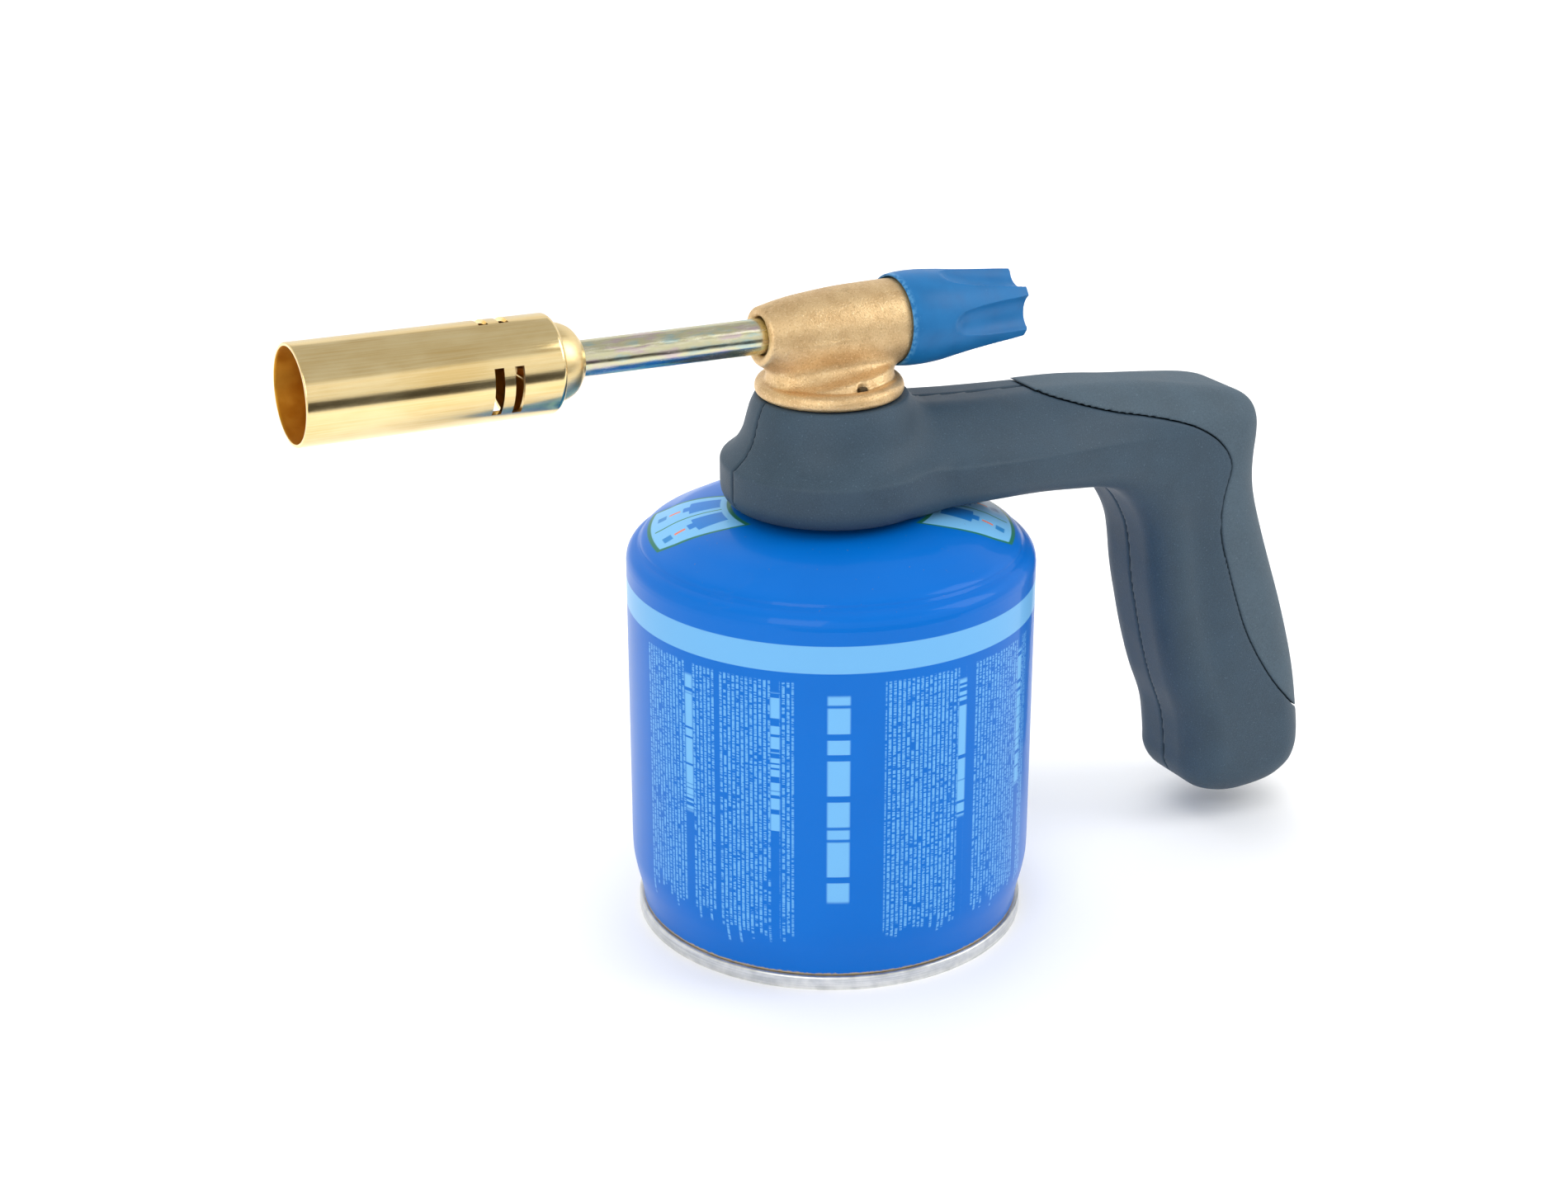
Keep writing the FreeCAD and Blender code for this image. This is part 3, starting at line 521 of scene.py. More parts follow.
def tube_zinc():
    """Yellow-passivated zinc, with its green and pink tints."""
    paint = Paint("tube_zinc", **{"Metallic": 1.0})
    x, y, z = paint.axes()
    slope = (z - AXIS_HEIGHT) + x * math.tan(TILT)
    around = paint.math("ARCTAN2", y, slope)
    tint = paint.noise(1.0, 3.0, vector=paint.vector(x * 0.12, around * 1.6, 0.0))
    fine = paint.noise(1.0, 3.0, vector=paint.vector(x * 0.25, around * 7.0, 0.0))
    green = paint.mix(paint.between(tint, 0.36, 0.50), (0.66, 0.54, 0.52), (0.68, 0.65, 0.42))
    tone = paint.mix(paint.between(tint, 0.52, 0.66), green, (0.48, 0.62, 0.56))
    tone = paint.mix(paint.between(fine, 0.40, 0.75) * 0.4, tone, (0.84, 0.82, 0.70))
    scuff = paint.noise(1.0, 4.0, vector=paint.vector(x * 0.9, around * 6.0, 3.0))
    scuff = paint.between(scuff, 0.66, 0.74)
    paint.give("Base Color", paint.mix(scuff * 0.25, tone, (0.25, 0.24, 0.20)))
    paint.give("Roughness", paint.between(fine, 0.2, 0.8, 0.14, 0.30))
    paint.give("Normal", paint.bump(fine, 0.05, 0.00005))
    return paint.material


def knob_blue():
    """Satin blue moulding with a paler lip, partly rubbed wear and partly a painted highlight."""
    paint = Paint("knob_plastic", **{"IOR": 1.46, "Specular IOR Level": 0.32})
    x, _, z = paint.axes()
    along = x * math.cos(TILT) - (z - AXIS_HEIGHT) * math.sin(TILT)
    fine = paint.noise(0.35, 3.0)
    patch = paint.noise(5.0, 3.0)
    tone = paint.mix(paint.between(patch, 0.3, 0.7), (0.006, 0.122, 0.325), (0.008, 0.142, 0.370))
    rub = paint.between(paint.noise(0.9, 4.0), 0.40, 0.56)
    # The front lip is painted paler: partly rubbed wear, partly a painted highlight along its edge.
    worn_lip_highlight = paint.between(along, 14.6, 15.9, 1.0, 0.0) * rub
    nick = paint.between(paint.noise(1.3, 5.0), 0.70, 0.76)
    tone = paint.mix(worn_lip_highlight * 0.75, tone, (0.085, 0.285, 0.52))
    paint.give("Base Color", paint.mix(nick * 0.3, tone, (0.06, 0.22, 0.46)))
    paint.give("Roughness", paint.between(patch, 0.3, 0.7, 0.36, 0.46))
    paint.give("Normal", paint.bump(fine * 0.5 + patch * 0.5, 0.25, 0.00012))
    return paint.material


# Columns of small marks on the cartridge's side: first and last degree, and the lowest height.
COLUMNS = (
    (-179.0, -152.0, 16.0),
    (-150.5, -129.0, 13.0),
    (-104.5, -80.0, 13.0),
    (-76.5, -49.0, 14.0),
    (-30.0, -4.0, 14.0),
    (0.0, 24.0, 16.0),
    (42.0, 56.0, 15.0),
    (60.0, 92.0, 14.0),
    (110.0, 140.0, 15.0),
)
COLUMN_TOP = 72.5
MARK_PITCH = 1.02
# Upright rows of bold dashes: first and last degree, the lowest height, and the dashes' pace.
BARS = (
    (-162.3, -159.7, 38.0, 0.95),
    (-135.4, -132.8, 38.0, 0.95),
    (-120.0, -114.0, 22.0, 0.42),
    (-82.4, -79.8, 38.0, 0.95),
    (-55.8, -53.2, 38.0, 0.95),
    (30.0, 36.0, 22.0, 0.42),
    (98.0, 100.6, 38.0, 0.95),
)
BAR_TOP = 70.0
BAND = (75.0, 81.1)
# Panels on the dome: the first and the last edge in degrees at PANEL_INNER's radius, each with
# its turn per millimetre of radius.
PANELS = (
    (139.5, 0.0, 187.0, -0.87),
    (-61.0, 1.08, -2.0, 0.0),
    (40.0, 0.0, 92.0, -0.6),
)
PANEL_INNER = 22.5


def can_paint():
    """Glossy blue enamel with a pale band, columns of fine marks and framed panels."""
    paint = Paint(
        "can_paint",
        **{"Specular IOR Level": 0.08, "Coat Weight": 0.22, "Coat Roughness": 0.04, "Coat IOR": 1.45},
    )
    x, y, z = paint.axes()
    degrees = paint.math("ARCTAN2", y, x) * (180 / math.pi)
    radius = paint.math("SQRT", x * x + y * y)
    arc = degrees * (math.pi * CAN_RADIUS / 180)
    pale = (0.180, 0.480, 0.800)
    patch = paint.noise(22.0, 2.0)
    tone = paint.mix(paint.between(patch, 0.3, 0.7), (0.0, 0.132, 0.530), (0.0, 0.138, 0.550))

    row = paint.math("FLOOR", arc * (1 / MARK_PITCH))
    across = paint.math("FRACT", arc * (1 / MARK_PITCH))
    stroke = paint.between(paint.math("ABSOLUTE", across - 0.5), 0.22, 0.36, 1.0, 0.0)
    marks = paint.noise(1.0, 2.0, vector=paint.vector(z * 3.4, row * 7.3, arc * 0.5))
    marks = paint.between(marks, 0.40, 0.52)
    words = paint.noise(1.0, 0.0, vector=paint.vector(z * 0.5, row * 3.1, 5.0))
    words = paint.between(words, 0.26, 0.32)
    ragged = paint.noise(1.0, 0.0, vector=paint.vector(row * 5.7, 2.0, 9.0)) * 16.0
    blocks = 0.0
    for start, end, low in COLUMNS:
        block = paint.window(degrees, start, end, 0.3)
        block = block * paint.between(z - ragged, low - 8.2, low - 7.6)
        blocks = block * paint.between(z, COLUMN_TOP, COLUMN_TOP + 0.5, 1.0, 0.0) + blocks
    print_ink = stroke * marks * words * blocks
    for start, end, low, pace in BARS:
        bar = paint.window(degrees, start, end, 0.4)
        beat = paint.noise(1.0, 0.0, vector=paint.vector(z * pace, start, 1.0))
        beat = paint.between(beat, 0.36, 0.42)
        inside = paint.window(z, low, BAR_TOP, 0.5)
        print_ink = paint.math("MAXIMUM", print_ink * (1.0 - bar), bar * beat * inside * 1.25)
    tone = paint.mix(print_ink * 0.70, tone, pale)

    band = paint.window(z, *BAND, 0.12) * paint.between(radius, CAN_RADIUS - 1.0, CAN_RADIUS - 0.4)
    tone = paint.mix(band, tone, (0.150, 0.420, 0.740))

    on_dome = paint.between(z, 89.4, 89.8)
    for low, low_turn, high, high_turn in PANELS:
        wrapped = paint.math("WRAP", degrees, 360.0 + low - 60.0, low - 60.0)
        first = (radius - PANEL_INNER) * low_turn + low
        last = (radius - PANEL_INNER) * high_turn + high
        inner = paint.window(wrapped, first, last, 0.4) * paint.window(radius, 22.8, 39.4, 0.15)
        outer = paint.window(wrapped, first - 1.5, last + 1.5, 0.4)
        outer = outer * paint.window(radius, 21.8, 40.2, 0.15)
        tone = paint.mix(outer * on_dome, tone, (0.02, 0.17, 0.11))
        tone = paint.mix(inner * on_dome, tone, pale)
        middle = (low + high + (low_turn + high_turn) * 9.0) / 2
        rule = paint.window(wrapped, middle - 0.45, middle + 0.45, 0.2)
        rule = rule * paint.window(radius, 24.0, 38.6)
        tone = paint.mix(rule * on_dome * inner, tone, (0.03, 0.20, 0.11))
        for side in (-1, 1):
            at = middle + side * 9.5
            tank = paint.window(wrapped, at - 6.0, at + 6.0, 0.4) * paint.window(radius, 24.2, 31.0)
            neck = paint.window(wrapped, at - 2.4, at + 2.4, 0.4) * paint.window(radius, 30.6, 32.4)
            bottle = paint.math("MAXIMUM", tank, neck)
            tone = paint.mix(bottle * on_dome * inner, tone, (0.01, 0.19, 0.60))
            arrow = paint.window(wrapped, at - 0.7, at + 0.7, 0.3) * paint.window(radius, 33.0, 35.4)
            tone = paint.mix(arrow * on_dome * inner, tone, (0.75, 0.19, 0.10))
            cap = paint.window(wrapped, at - 1.9, at + 1.9, 0.4) * paint.window(radius, 36.0, 37.9)
            tone = paint.mix(cap * on_dome * inner, tone, (0.02, 0.22, 0.55))

    dust = paint.between(paint.noise(0.8, 3.0), 0.715, 0.75) * paint.between(z, 82.0, 90.0)
    tone = paint.mix(dust * 0.5, tone, (0.13, 0.15, 0.22))
    edge = paint.between(z + paint.noise(0.8, 3.0) * 0.8, 3.75, 4.15, 1.0, 0.0)
    tone = paint.mix(edge, tone, (0.42, 0.33, 0.20))
    paint.give("Base Color", tone)
    paint.give("Roughness", 0.34)
    return paint.material


finishes = {
    "can_paint": can_paint(),
    "tinplate": tinplate(),
    "steel": steel(),
    "tube_zinc": tube_zinc(),
    "white_plastic": white_plastic(),
    "seal_rubber": rubber(),
    "grip_plastic": moulded("grip_plastic", (0.037, 0.064, 0.092), 0.52, 0.28, 0.00010),
    "soft_insert": moulded("soft_insert", (0.062, 0.094, 0.122), 0.60, 0.34, 0.00016),
    "cast_brass": cast_brass(),
    "turned_brass": drawn_brass("turned_brass", 0.05, 0.11),
    "knob_plastic": knob_blue(),
}
for part in frame["record"]["subparts"]:
    node = nodes[part["node"]]
    node.data.materials.clear()
    node.data.materials.append(finishes[part["material_slot"]])
nodes["flange_pin"].data.materials[0] = pin_steel()


def heat_stained():
    """Brass inside the burner, darkened to amber by the flame."""
    paint = Paint("amber_brass", **{"Metallic": 0.9})
    blotch = paint.noise(5.0, 4.0)
    tone = paint.mix(paint.between(blotch, 0.3, 0.7), (0.56, 0.255, 0.020), (0.72, 0.370, 0.045))
    paint.give("Base Color", tone)
    paint.give("Roughness", paint.between(blotch, 0.3, 0.7, 0.34, 0.46))
    return paint.material


# ---------------------------------------------------------------- cartridge
# The shell's outside and inside, each (radius, height).
shell_out = [(42.5, 3.15)] + through(
    [(42.75, 3.2), (42.9, 5.0), (43.5, 8.0), (44.35, 11.5), (44.85, 14.5), (45.0, 18.0)], 6
)
shell_out += [(45.0, 84.0)] + through(
    [
        (45.0, 84.2), (44.85, 85.3), (44.45, 86.3), (43.8, 87.1), (43.1, 87.55), (42.45, 87.85),
        (42.0, 88.35), (41.7, 89.0), (41.1, 89.65), (40.2, 90.25), (38.7, 91.05), (36.6, 92.1),
        (34.9, 93.0), (33.2, 93.75), (30.5, 94.65), (27.5, 95.35), (24.5, 95.85), (21.0, 96.2),
        (17.4, 96.4),
    ],
    6,
)
shell_out += rounded([(16.6, 96.5), (15.6, 96.7, 0.8), (15.2, 98.0), (15.2, 100.9)])
shell_in = [(14.7, 100.9), (14.7, 96.2), (21.0, 95.7), (33.0, 93.2), (41.6, 89.0), (44.4, 84.6)]
shell_in += [(44.4, 18.0), (42.4, 5.0), (42.0, 3.15)]
SHELL_SEGMENTS = 288
points, faces = welded(*lathe(shell_out + shell_in, SHELL_SEGMENTS, True))
shell = add_mesh("can_shell_skin", points, faces, "cartridge", finishes["can_paint"], 50)
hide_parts("can_shell")


# ---------------------------------------------------------------- handle
# The side outline (x, z), from the hub along the top, down the grip and back underneath.
SIDE = [
    (0, 118.3), (10, 118.1), (20, 117.6), (32, 116.6), (45, 115.9), (62, 115.2), (78, 113.5),
    (92, 111.2), (98.5, 110), (103.8, 108.4), (107, 106.2), (108.6, 102.6), (108.8, 98.5),
    (108.4, 94), (108.3, 90), (108.6, 86.5), (109.4, 82.6), (112.2, 73.8), (115.4, 64.9),
    (118.7, 55.8), (121.7, 46.6), (124.3, 37.3), (126.1, 28.1), (127.3, 19.6), (127.1, 14.6),
    (124.9, 9.9), (119.3, 6.4), (112, 5.3), (105.5, 5.5), (98.9, 7.6), (95.6, 10.3), (93.9, 13.6),
    (93.5, 17.9), (92, 27.1), (88.2, 36.8), (85.3, 46.1), (83.1, 55.1), (81.2, 64), (80, 72.7),
    (79.1, 77), (77.2, 81.5), (73.8, 86.5), (68.5, 90.6), (62, 92.9), (54, 94.5), (44, 95.9),
    (32, 96.7), (20, 97), (0, 97),
]
# The first TOP_POINTS of them are the top line.
TOP_POINTS = 10
# Half the width at each x.
HALF_WIDTH = [
    (-30, 13.5), (-6, 13.5), (8, 19), (20, 20.6), (32, 20.2), (45, 18.9), (58, 17), (74, 15.1),
    (90, 14.5), (140, 14.5),
]
# The seam between the housing and the insert (x, z), from the arm's top to the grip's back.
SEAM = [
    (40, 124), (43.4, 118.9), (49.5, 115.6), (57, 112.9), (66, 110.1), (77, 107.3), (87, 104),
    (93.6, 99.9), (97, 96), (98.2, 92.7), (97.7, 90), (96.6, 85.8), (96.1, 81), (96.8, 75.2),
    (99, 67.6), (102, 58.8), (105.6, 49.9), (110.6, 41.2), (116.6, 33), (123, 26.6),
    (128, 23.4), (136, 20.6),
]
# The round hub's profile (radius, height).
HUB = (
    rounded([(0, 97), (24.2, 97, 4.8), (24.2, 107.4, 0.7), (22.6, 108.7)])
    + through(
        [(22.3, 108.95), (21.3, 109.9), (20.2, 111.5), (19.2, 113.6), (18.5, 116.2),
         (17.7, 119.0), (16.8, 121.0)], 4)
    + [(16.5, 121.5), (16.2, 121.6), (0, 121.6)]
)
# The grip's front edge (z, x).
FRONT_EDGE = [
    (5.4, 101), (12, 94.2), (17.9, 93.5), (27.1, 92), (36.8, 88.2), (46.1, 85.3), (55.1, 83.1),
    (64, 81.2), (72.7, 80), (77, 79.1), (82, 77), (92, 72),
]
# Screw wells on the far side (x, z, half the handle's width there).
SCREWS = ((33.0, 106.0, 18.4), (86.0, 98.0, 13.0), (91.0, 58.0, 13.0), (106.0, 18.0, 13.0))
WELL_RADIUS = 3.1
WELL_DEPTH = 3.4
HANDLE_STEP = 0.5
HUB_BLEND = 4.0
GRIP_ROUNDING = 8.5
# The crease along the arm's side falls from CREASE_HEIGHT by CREASE_FALL per millimetre.
CREASE_HEIGHT = 108.4
CREASE_FALL = 0.072
# A hollow for the fingers runs down the grip's sides, behind its front edge.
SCOOP_DEPTH = 1.5
SCOOP_BEHIND = 10.5
SCOOP_SPREAD = 5.0
# Each half stops this far from y = 0, and the housing and the insert this far from the seam.
PARTING = 0.19
SEAM_GAP = 0.14
INSERT_RECESS = 3.2
INSERT_DEPTH = 2.9
INSERT_PROUD = 0.45
POCKET_RADIUS = 21.6
POCKET_TOP = 107.5
SHANK_RADIUS = 8.75


def handle_form(grid):
    """Signed distances to the whole handle and to the insert's zone, on the grid."""
    x, z = grid.side_x, grid.side_z
    side = outline_distance(through(SIDE, 5), x, z)
    seam = through(SEAM, 4) + [(145, 60), (145, 135), (38, 135)]
    zone = outline_distance(seam, x, z)

    plan = np.interp(x, *zip(*through(HALF_WIDTH, 6)))
    crease = CREASE_HEIGHT - CREASE_FALL * np.clip(x, 0, 80)
    top = np.interp(x, *zip(*SIDE[:TOP_POINTS]))
    rise = np.clip((z - crease) / np.maximum(top - crease, 4), 0, 1)
    hollow = 1 - (1 - rise) ** np.interp(x, [0, 25, 55, 90], [1.9, 1.7, 1.25, 1.0])
    lean = np.interp(x, [0, 20, 50, 72, 92, 100], [0.34, 0.42, 0.40, 0.30, 0.06, 0.0])
    half = plan * (1 - lean * hollow)
    inward = x - np.interp(z, *zip(*FRONT_EDGE))
    scoop = np.exp(-(((inward - SCOOP_BEHIND) / SCOOP_SPREAD) ** 2))
    scoop = scoop * ramp(z, 26, 60) * (1 - ramp(z, 76, 90))
    half = half - SCOOP_DEPTH * scoop
    slopes = np.gradient(half, grid.step)
    scale = 1 / np.sqrt(1 + slopes[0] ** 2 + slopes[1] ** 2)

    # The edges are rounder above the crease than below it, and roundest in the grip.
    into_grip = ramp(x, 52, 82)
    low = 4.6 + 3.9 * into_grip
    high = 7.2 + 1.3 * into_grip
    radius = low + (high - low) * ramp(z, crease - 6, crease + 3) * (1 - into_grip)
    radius = np.where(x > 82, GRIP_ROUNDING, radius)

    flank = (np.abs(grid.y) - half[:, None, :]) * scale[:, None, :]
    arm = round_both(np.broadcast_to(side[:, None, :], flank.shape), flank, radius[:, None, :])
    hub = turned_distance(HUB, np.sqrt(grid.x**2 + grid.y**2), grid.z)
    return soft_union(hub, arm, HUB_BLEND), zone[:, None, :]


grid = Grid((-25.5, -25.2, 3.5), (130.0, 25.2, 123.0), HANDLE_STEP)
form, zone = handle_form(grid)
distance = np.sqrt(grid.x**2 + grid.y**2)
pocket = np.maximum(distance - POCKET_RADIUS, grid.z - POCKET_TOP)
pocket = np.minimum(pocket, distance - SHANK_RADIUS)
core = np.minimum(np.maximum(form, SEAM_GAP - zone), form + INSERT_RECESS)
core = np.maximum(core, -pocket)
for name, node, sign in (("handle_left", "housing_left", 1), ("handle_right", "housing_right", -1)):
    half_form = np.maximum(core, sign * grid.y + PARTING)
    if sign < 0:
        for sx, sz, half in SCREWS:
            well = np.sqrt((grid.x - sx) ** 2 + (grid.z - sz) ** 2) - WELL_RADIUS
            half_form = np.maximum(half_form, -np.maximum(well, (half - WELL_DEPTH) - grid.y))
    points, faces, normals = surface(half_form.astype(np.float32), grid)
    piece = add_mesh(name, points, faces, "head", finishes["grip_plastic"], normals=normals)
    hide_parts(node)

proud = INSERT_PROUD * (1 - ramp(grid.side_x, 46, 78)) * ramp(grid.side_x, 36, 42)
pad = np.maximum(form - proud[:, None, :], zone + SEAM_GAP)
pad = np.maximum(pad, -(form + INSERT_DEPTH))
points, faces, normals = surface(pad.astype(np.float32), grid)
insert = add_mesh("handle_insert", points, faces, "head", finishes["soft_insert"], normals=normals)
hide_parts("grip_insert")


# ---------------------------------------------------------------- cast valve body
# The barrel's profile (radius, station), the flange's (radius, height), and the neck's half
# width over its ridge (height, half width).
BARREL = (
    [(0, -17.8)]
    + rounded([(4.4, -17.8), (6.1, -17.8, 1.0), (6.9, -14.2)])
    + through(
        [(7.1, -13.2), (7.7, -9.6), (8.2, -5.0), (8.7, 1.0), (8.9, 7.0), (9.0, 13.0), (9.0, 17.0)], 5
    )
    + [(0, 17.0)]
)
FLANGE = [(0, 121.75)] + rounded([
    (12, 121.75), (16.1, 121.75, 1.4), (16.1, 125.35, 1.9), (13.6, 125.3, 1.2), (11.8, 124.5, 2.0),
    (0, 124.4),
])
WEB = (
    [(-8, 12.4), (-2.2, 12.0), (-1.0, 11.5), (-0.3, 11.1), (0.0, 10.8)]
    + through([(0.15, 10.2), (0.5, 9.2), (1.2, 8.2), (2.4, 7.3), (4.0, 6.9), (6.0, 7.1), (9.0, 7.6)], 5)
)
STEM_SEGMENTS = 64
STEM = [
    (0, 122.4), (8.6, 122.4), (8.6, 108.5), (4.8, 108.5), (4.8, 103.4, 0.4), (3.2, 102.9), (0, 102.9),
]
FLANGE_SHIFT = 0.6
WEB_REACH = 14.0
WEB_TOP = 134.0
WEB_POWER = 2.5
WEB_BLEND = 2.6
BORE_RADIUS = 4.15
GLAND_RADIUS = 6.2
PIN_X, PIN_Y, PIN_RADIUS, PIN_FLOOR = 0.9, -12.0, 1.15, 123.6
CASTING_STEP = 0.36
grid = Grid((-19.5, -17.5, 120.5), (19.0, 17.5, 147.0), CASTING_STEP)
c, s = math.cos(TILT), math.sin(TILT)
# Distances along the barrel's axis and down from it.
along = grid.x * c - (grid.z - AXIS_HEIGHT) * s
drop = -grid.x * s - (grid.z - AXIS_HEIGHT) * c
along, drop, y = np.broadcast_arrays(along, drop, grid.y)
off_axis = np.sqrt(drop**2 + y**2)
barrel = turned_distance(BARREL, off_axis, along)
ridge = np.clip(126.6 + 0.12 * grid.x, 125.2, 128.0)
half = np.interp(grid.z - ridge, *zip(*WEB))
web = (np.abs(grid.x + 1.0) / WEB_REACH) ** WEB_POWER + (np.abs(grid.y) / half) ** WEB_POWER
web = (web ** (1 / WEB_POWER) - 1) * half * 0.85
web = np.maximum(web, grid.z - WEB_TOP)
body = soft_union(barrel, web, WEB_BLEND)
flange = turned_distance(FLANGE, np.sqrt((grid.x + FLANGE_SHIFT) ** 2 + grid.y**2), grid.z)
body = np.minimum(body, flange)
bore = np.maximum(off_axis - BORE_RADIUS, along + 9.0)
chamfer = off_axis - BORE_RADIUS - np.maximum(-17.2 - along, 0)
bore = np.minimum(bore, np.maximum(chamfer, along + 17.0))
rear = np.maximum(off_axis - GLAND_RADIUS, 9.0 - along)
body = np.maximum(body, -np.minimum(bore, rear))
pin_hole = np.sqrt((grid.x - PIN_X) ** 2 + (grid.y - PIN_Y) ** 2) - PIN_RADIUS
pin_hole = np.maximum(pin_hole, PIN_FLOOR - grid.z)
body = np.maximum(body, -pin_hole)
points, faces, normals = surface(body.astype(np.float32), grid)
stem_points, stem_faces = welded(*lathe(rounded(STEM), STEM_SEGMENTS))
stem = add_mesh("valve_stem", stem_points, stem_faces, "head", finishes["cast_brass"], 40)
valve = add_mesh("valve_casting", points, faces, "head", finishes["cast_brass"], normals=normals)
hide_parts("brass_body")


# ---------------------------------------------------------------- burner
# Stations run along the barrel's axis from the cartridge's, so the burner's are negative.
MOUTH = -119.6
REAR = -65.4
OUTER = 10.3
INNER = 9.45
WALL_FRONT = -82.0
WALL_BACK = -74.2
WALL_STEP = 0.8
SLOTS = ((-81.2, -79.2), (-76.9, -74.9))
SLOT_ANGLES = (-78.0, 42.0, 162.0)
SLOT_ARC = 60
BURNER_SEGMENTS = 360
CAP_SEGMENTS = 160
TUBE_SEGMENTS = 128


def barrel_piece(name, profile, segments, slot):
    """A piece of the head turned about the barrel's axis from a closed profile."""
    points, faces = welded(*lathe(profile, segments, True))
    piece = add_mesh(name, along_barrel(points), faces, "head", finishes[slot], 40)
    return piece


def perforated(low, high, outer, inner, slots, segments):
    """A tube wall between two stations, with slots (from, to) cut through it."""
    cuts = sorted({low, high} | {v for slot in slots for v in slot})
    stations = []
    for a, b in zip(cuts, cuts[1:]):
        stations += list(np.linspace(a, b, max(1, int((b - a) / WALL_STEP)), endpoint=False))
    stations.append(cuts[-1])
    points = []
    for radius in (outer, inner):
        for station in stations:
            for k in range(segments):
                angle = 2 * math.pi * k / segments
                points.append((radius * math.cos(angle), radius * math.sin(angle), station))
    layer = len(stations) * segments

    def is_open(i, k):
        middle = (stations[i] + stations[i + 1]) / 2
        degrees = 360 * (k + 0.5) / segments
        if not any(a < middle < b for a, b in slots):
            return False
        return any(abs((degrees - angle + 180) % 360 - 180) < SLOT_ARC / 2 for angle in SLOT_ANGLES)

    rows = len(stations) - 1
    closed = [[not is_open(i, k) for k in range(segments)] for i in range(rows)]
    faces = []
    for i in range(rows):
        for k in range(segments):
            n = (k + 1) % segments
            a, b = i * segments + k, i * segments + n
            d, c = a + segments, b + segments
            if closed[i][k]:
                faces.append((a, b, c, d))
                faces.append((d + layer, c + layer, b + layer, a + layer))
                if not closed[i][n]:
                    faces.append((b, c, c + layer, b + layer))
                if not closed[i][k - 1]:
                    faces.append((d, a, a + layer, d + layer))
                if i + 1 < rows and not closed[i + 1][k]:
                    faces.append((c, d, d + layer, c + layer))
                if i > 0 and not closed[i - 1][k]:
                    faces.append((a, b, b + layer, a + layer))
    return np.array(points), faces


wall, wall_faces = perforated(WALL_FRONT, WALL_BACK, OUTER, INNER, SLOTS, BURNER_SEGMENTS)
front_profile = [
    (INNER, WALL_FRONT), (INNER, MOUTH + 0.5), (INNER + 0.12, MOUTH, 0.1), (OUTER, MOUTH, 0.32),
    (OUTER, WALL_FRONT),
]
back_profile = [
    (OUTER, WALL_BACK), (OUTER, REAR, 1.3), (8.7, REAR, 0.2), (8.7, REAR - 0.8),
    (INNER, REAR - 1.7), (INNER, WALL_BACK),
]
front, front_faces = lathe(rounded(front_profile), BURNER_SEGMENTS)
back, back_faces = lathe(rounded(back_profile), BURNER_SEGMENTS)
points = np.concatenate([wall, front, back])
faces = list(wall_faces)
faces += [tuple(v + len(wall) for v in f) for f in front_faces]
faces += [tuple(v + len(wall) + len(front) for v in f) for f in back_faces]
points, faces = welded(points, faces)
burner = add_mesh("burner_sleeve", along_barrel(points), faces, "head", finishes["turned_brass"], 38)
burner.data.materials.append(heat_stained())
# The faces of the inner wall take the stained finish.
for face in burner.data.polygons:
    x = face.center.x
    outward = face.center - Vector((x, 0, AXIS_HEIGHT * MM - x * math.tan(TILT)))
    if outward.length < (INNER + 0.2) * MM and abs(face.normal.x) < 0.9:
        face.material_index = 1
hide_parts("burner_barrel")

dome_out = rounded([(3.86, -59.4), (4.9, -59.4, 0.3), (5.3, -59.8)]) + through(
    [(5.5, -59.95), (6.3, -60.5), (7.1, -61.4), (7.8, -62.8), (8.3, -64.5), (8.6, -66.4)], 5
)
dome_in = [(6.9, -67.6), (6.9, -65.2), (4.8, -62.0), (3.86, -61.8)]
dome = barrel_piece("burner_cap", dome_out + dome_in, CAP_SEGMENTS, "turned_brass")
dome.data.materials[0] = drawn_brass("satin_brass", 0.4, 0.26, 0.06)
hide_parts("burner_dome")

tube_profile = [(2.6, -9.2), (3.8, -9.2), (3.8, -66.0), (2.6, -66.0)]
tube = barrel_piece("gas_tube", tube_profile, TUBE_SEGMENTS, "tube_zinc")
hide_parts("burner_tube")


# ---------------------------------------------------------------- knob
# The knob's outline (station, radius), the depth and the radius of a flute at each station,
# how the rear face closes (inset, rise), and the socket's profile (radius, station).
KNOB_LINE = [
    (14.9, 9.95), (16.5, 10.15), (18.6, 10.25), (21.6, 10.2), (26.5, 9.8), (30.5, 9.35),
    (34.5, 8.95), (38.5, 8.6), (42.2, 8.3), (45.1, 8.0),
]
FLUTES = 5
FLUTE_START = 24.8
FLUTE_DEPTH = ([FLUTE_START, 25.8, 27.4, 32.4, 38.4, 45.0], [-0.2, 0.6, 1.25, 2.0, 2.5, 2.8])
FLUTE_RADIUS = ([FLUTE_START, 27.8, 45.0], [3.2, 4.4, 4.9])
FLUTE_BLEND = 0.09
KNOB_CLOSE = ((0.25, 0.12), (0.55, 0.3), (1.1, 0.38), (3.0, 0.4))
KNOB_REAR = 45.5
KNOB_SOCKET = [
    (0, 21.6), (9.35, 21.6, 0.6), (9.35, 14.9), (9.4, 14.6, 0.1), (9.75, 14.45, 0.2), (9.95, 14.9),
]
KNOB_SEGMENTS = 480


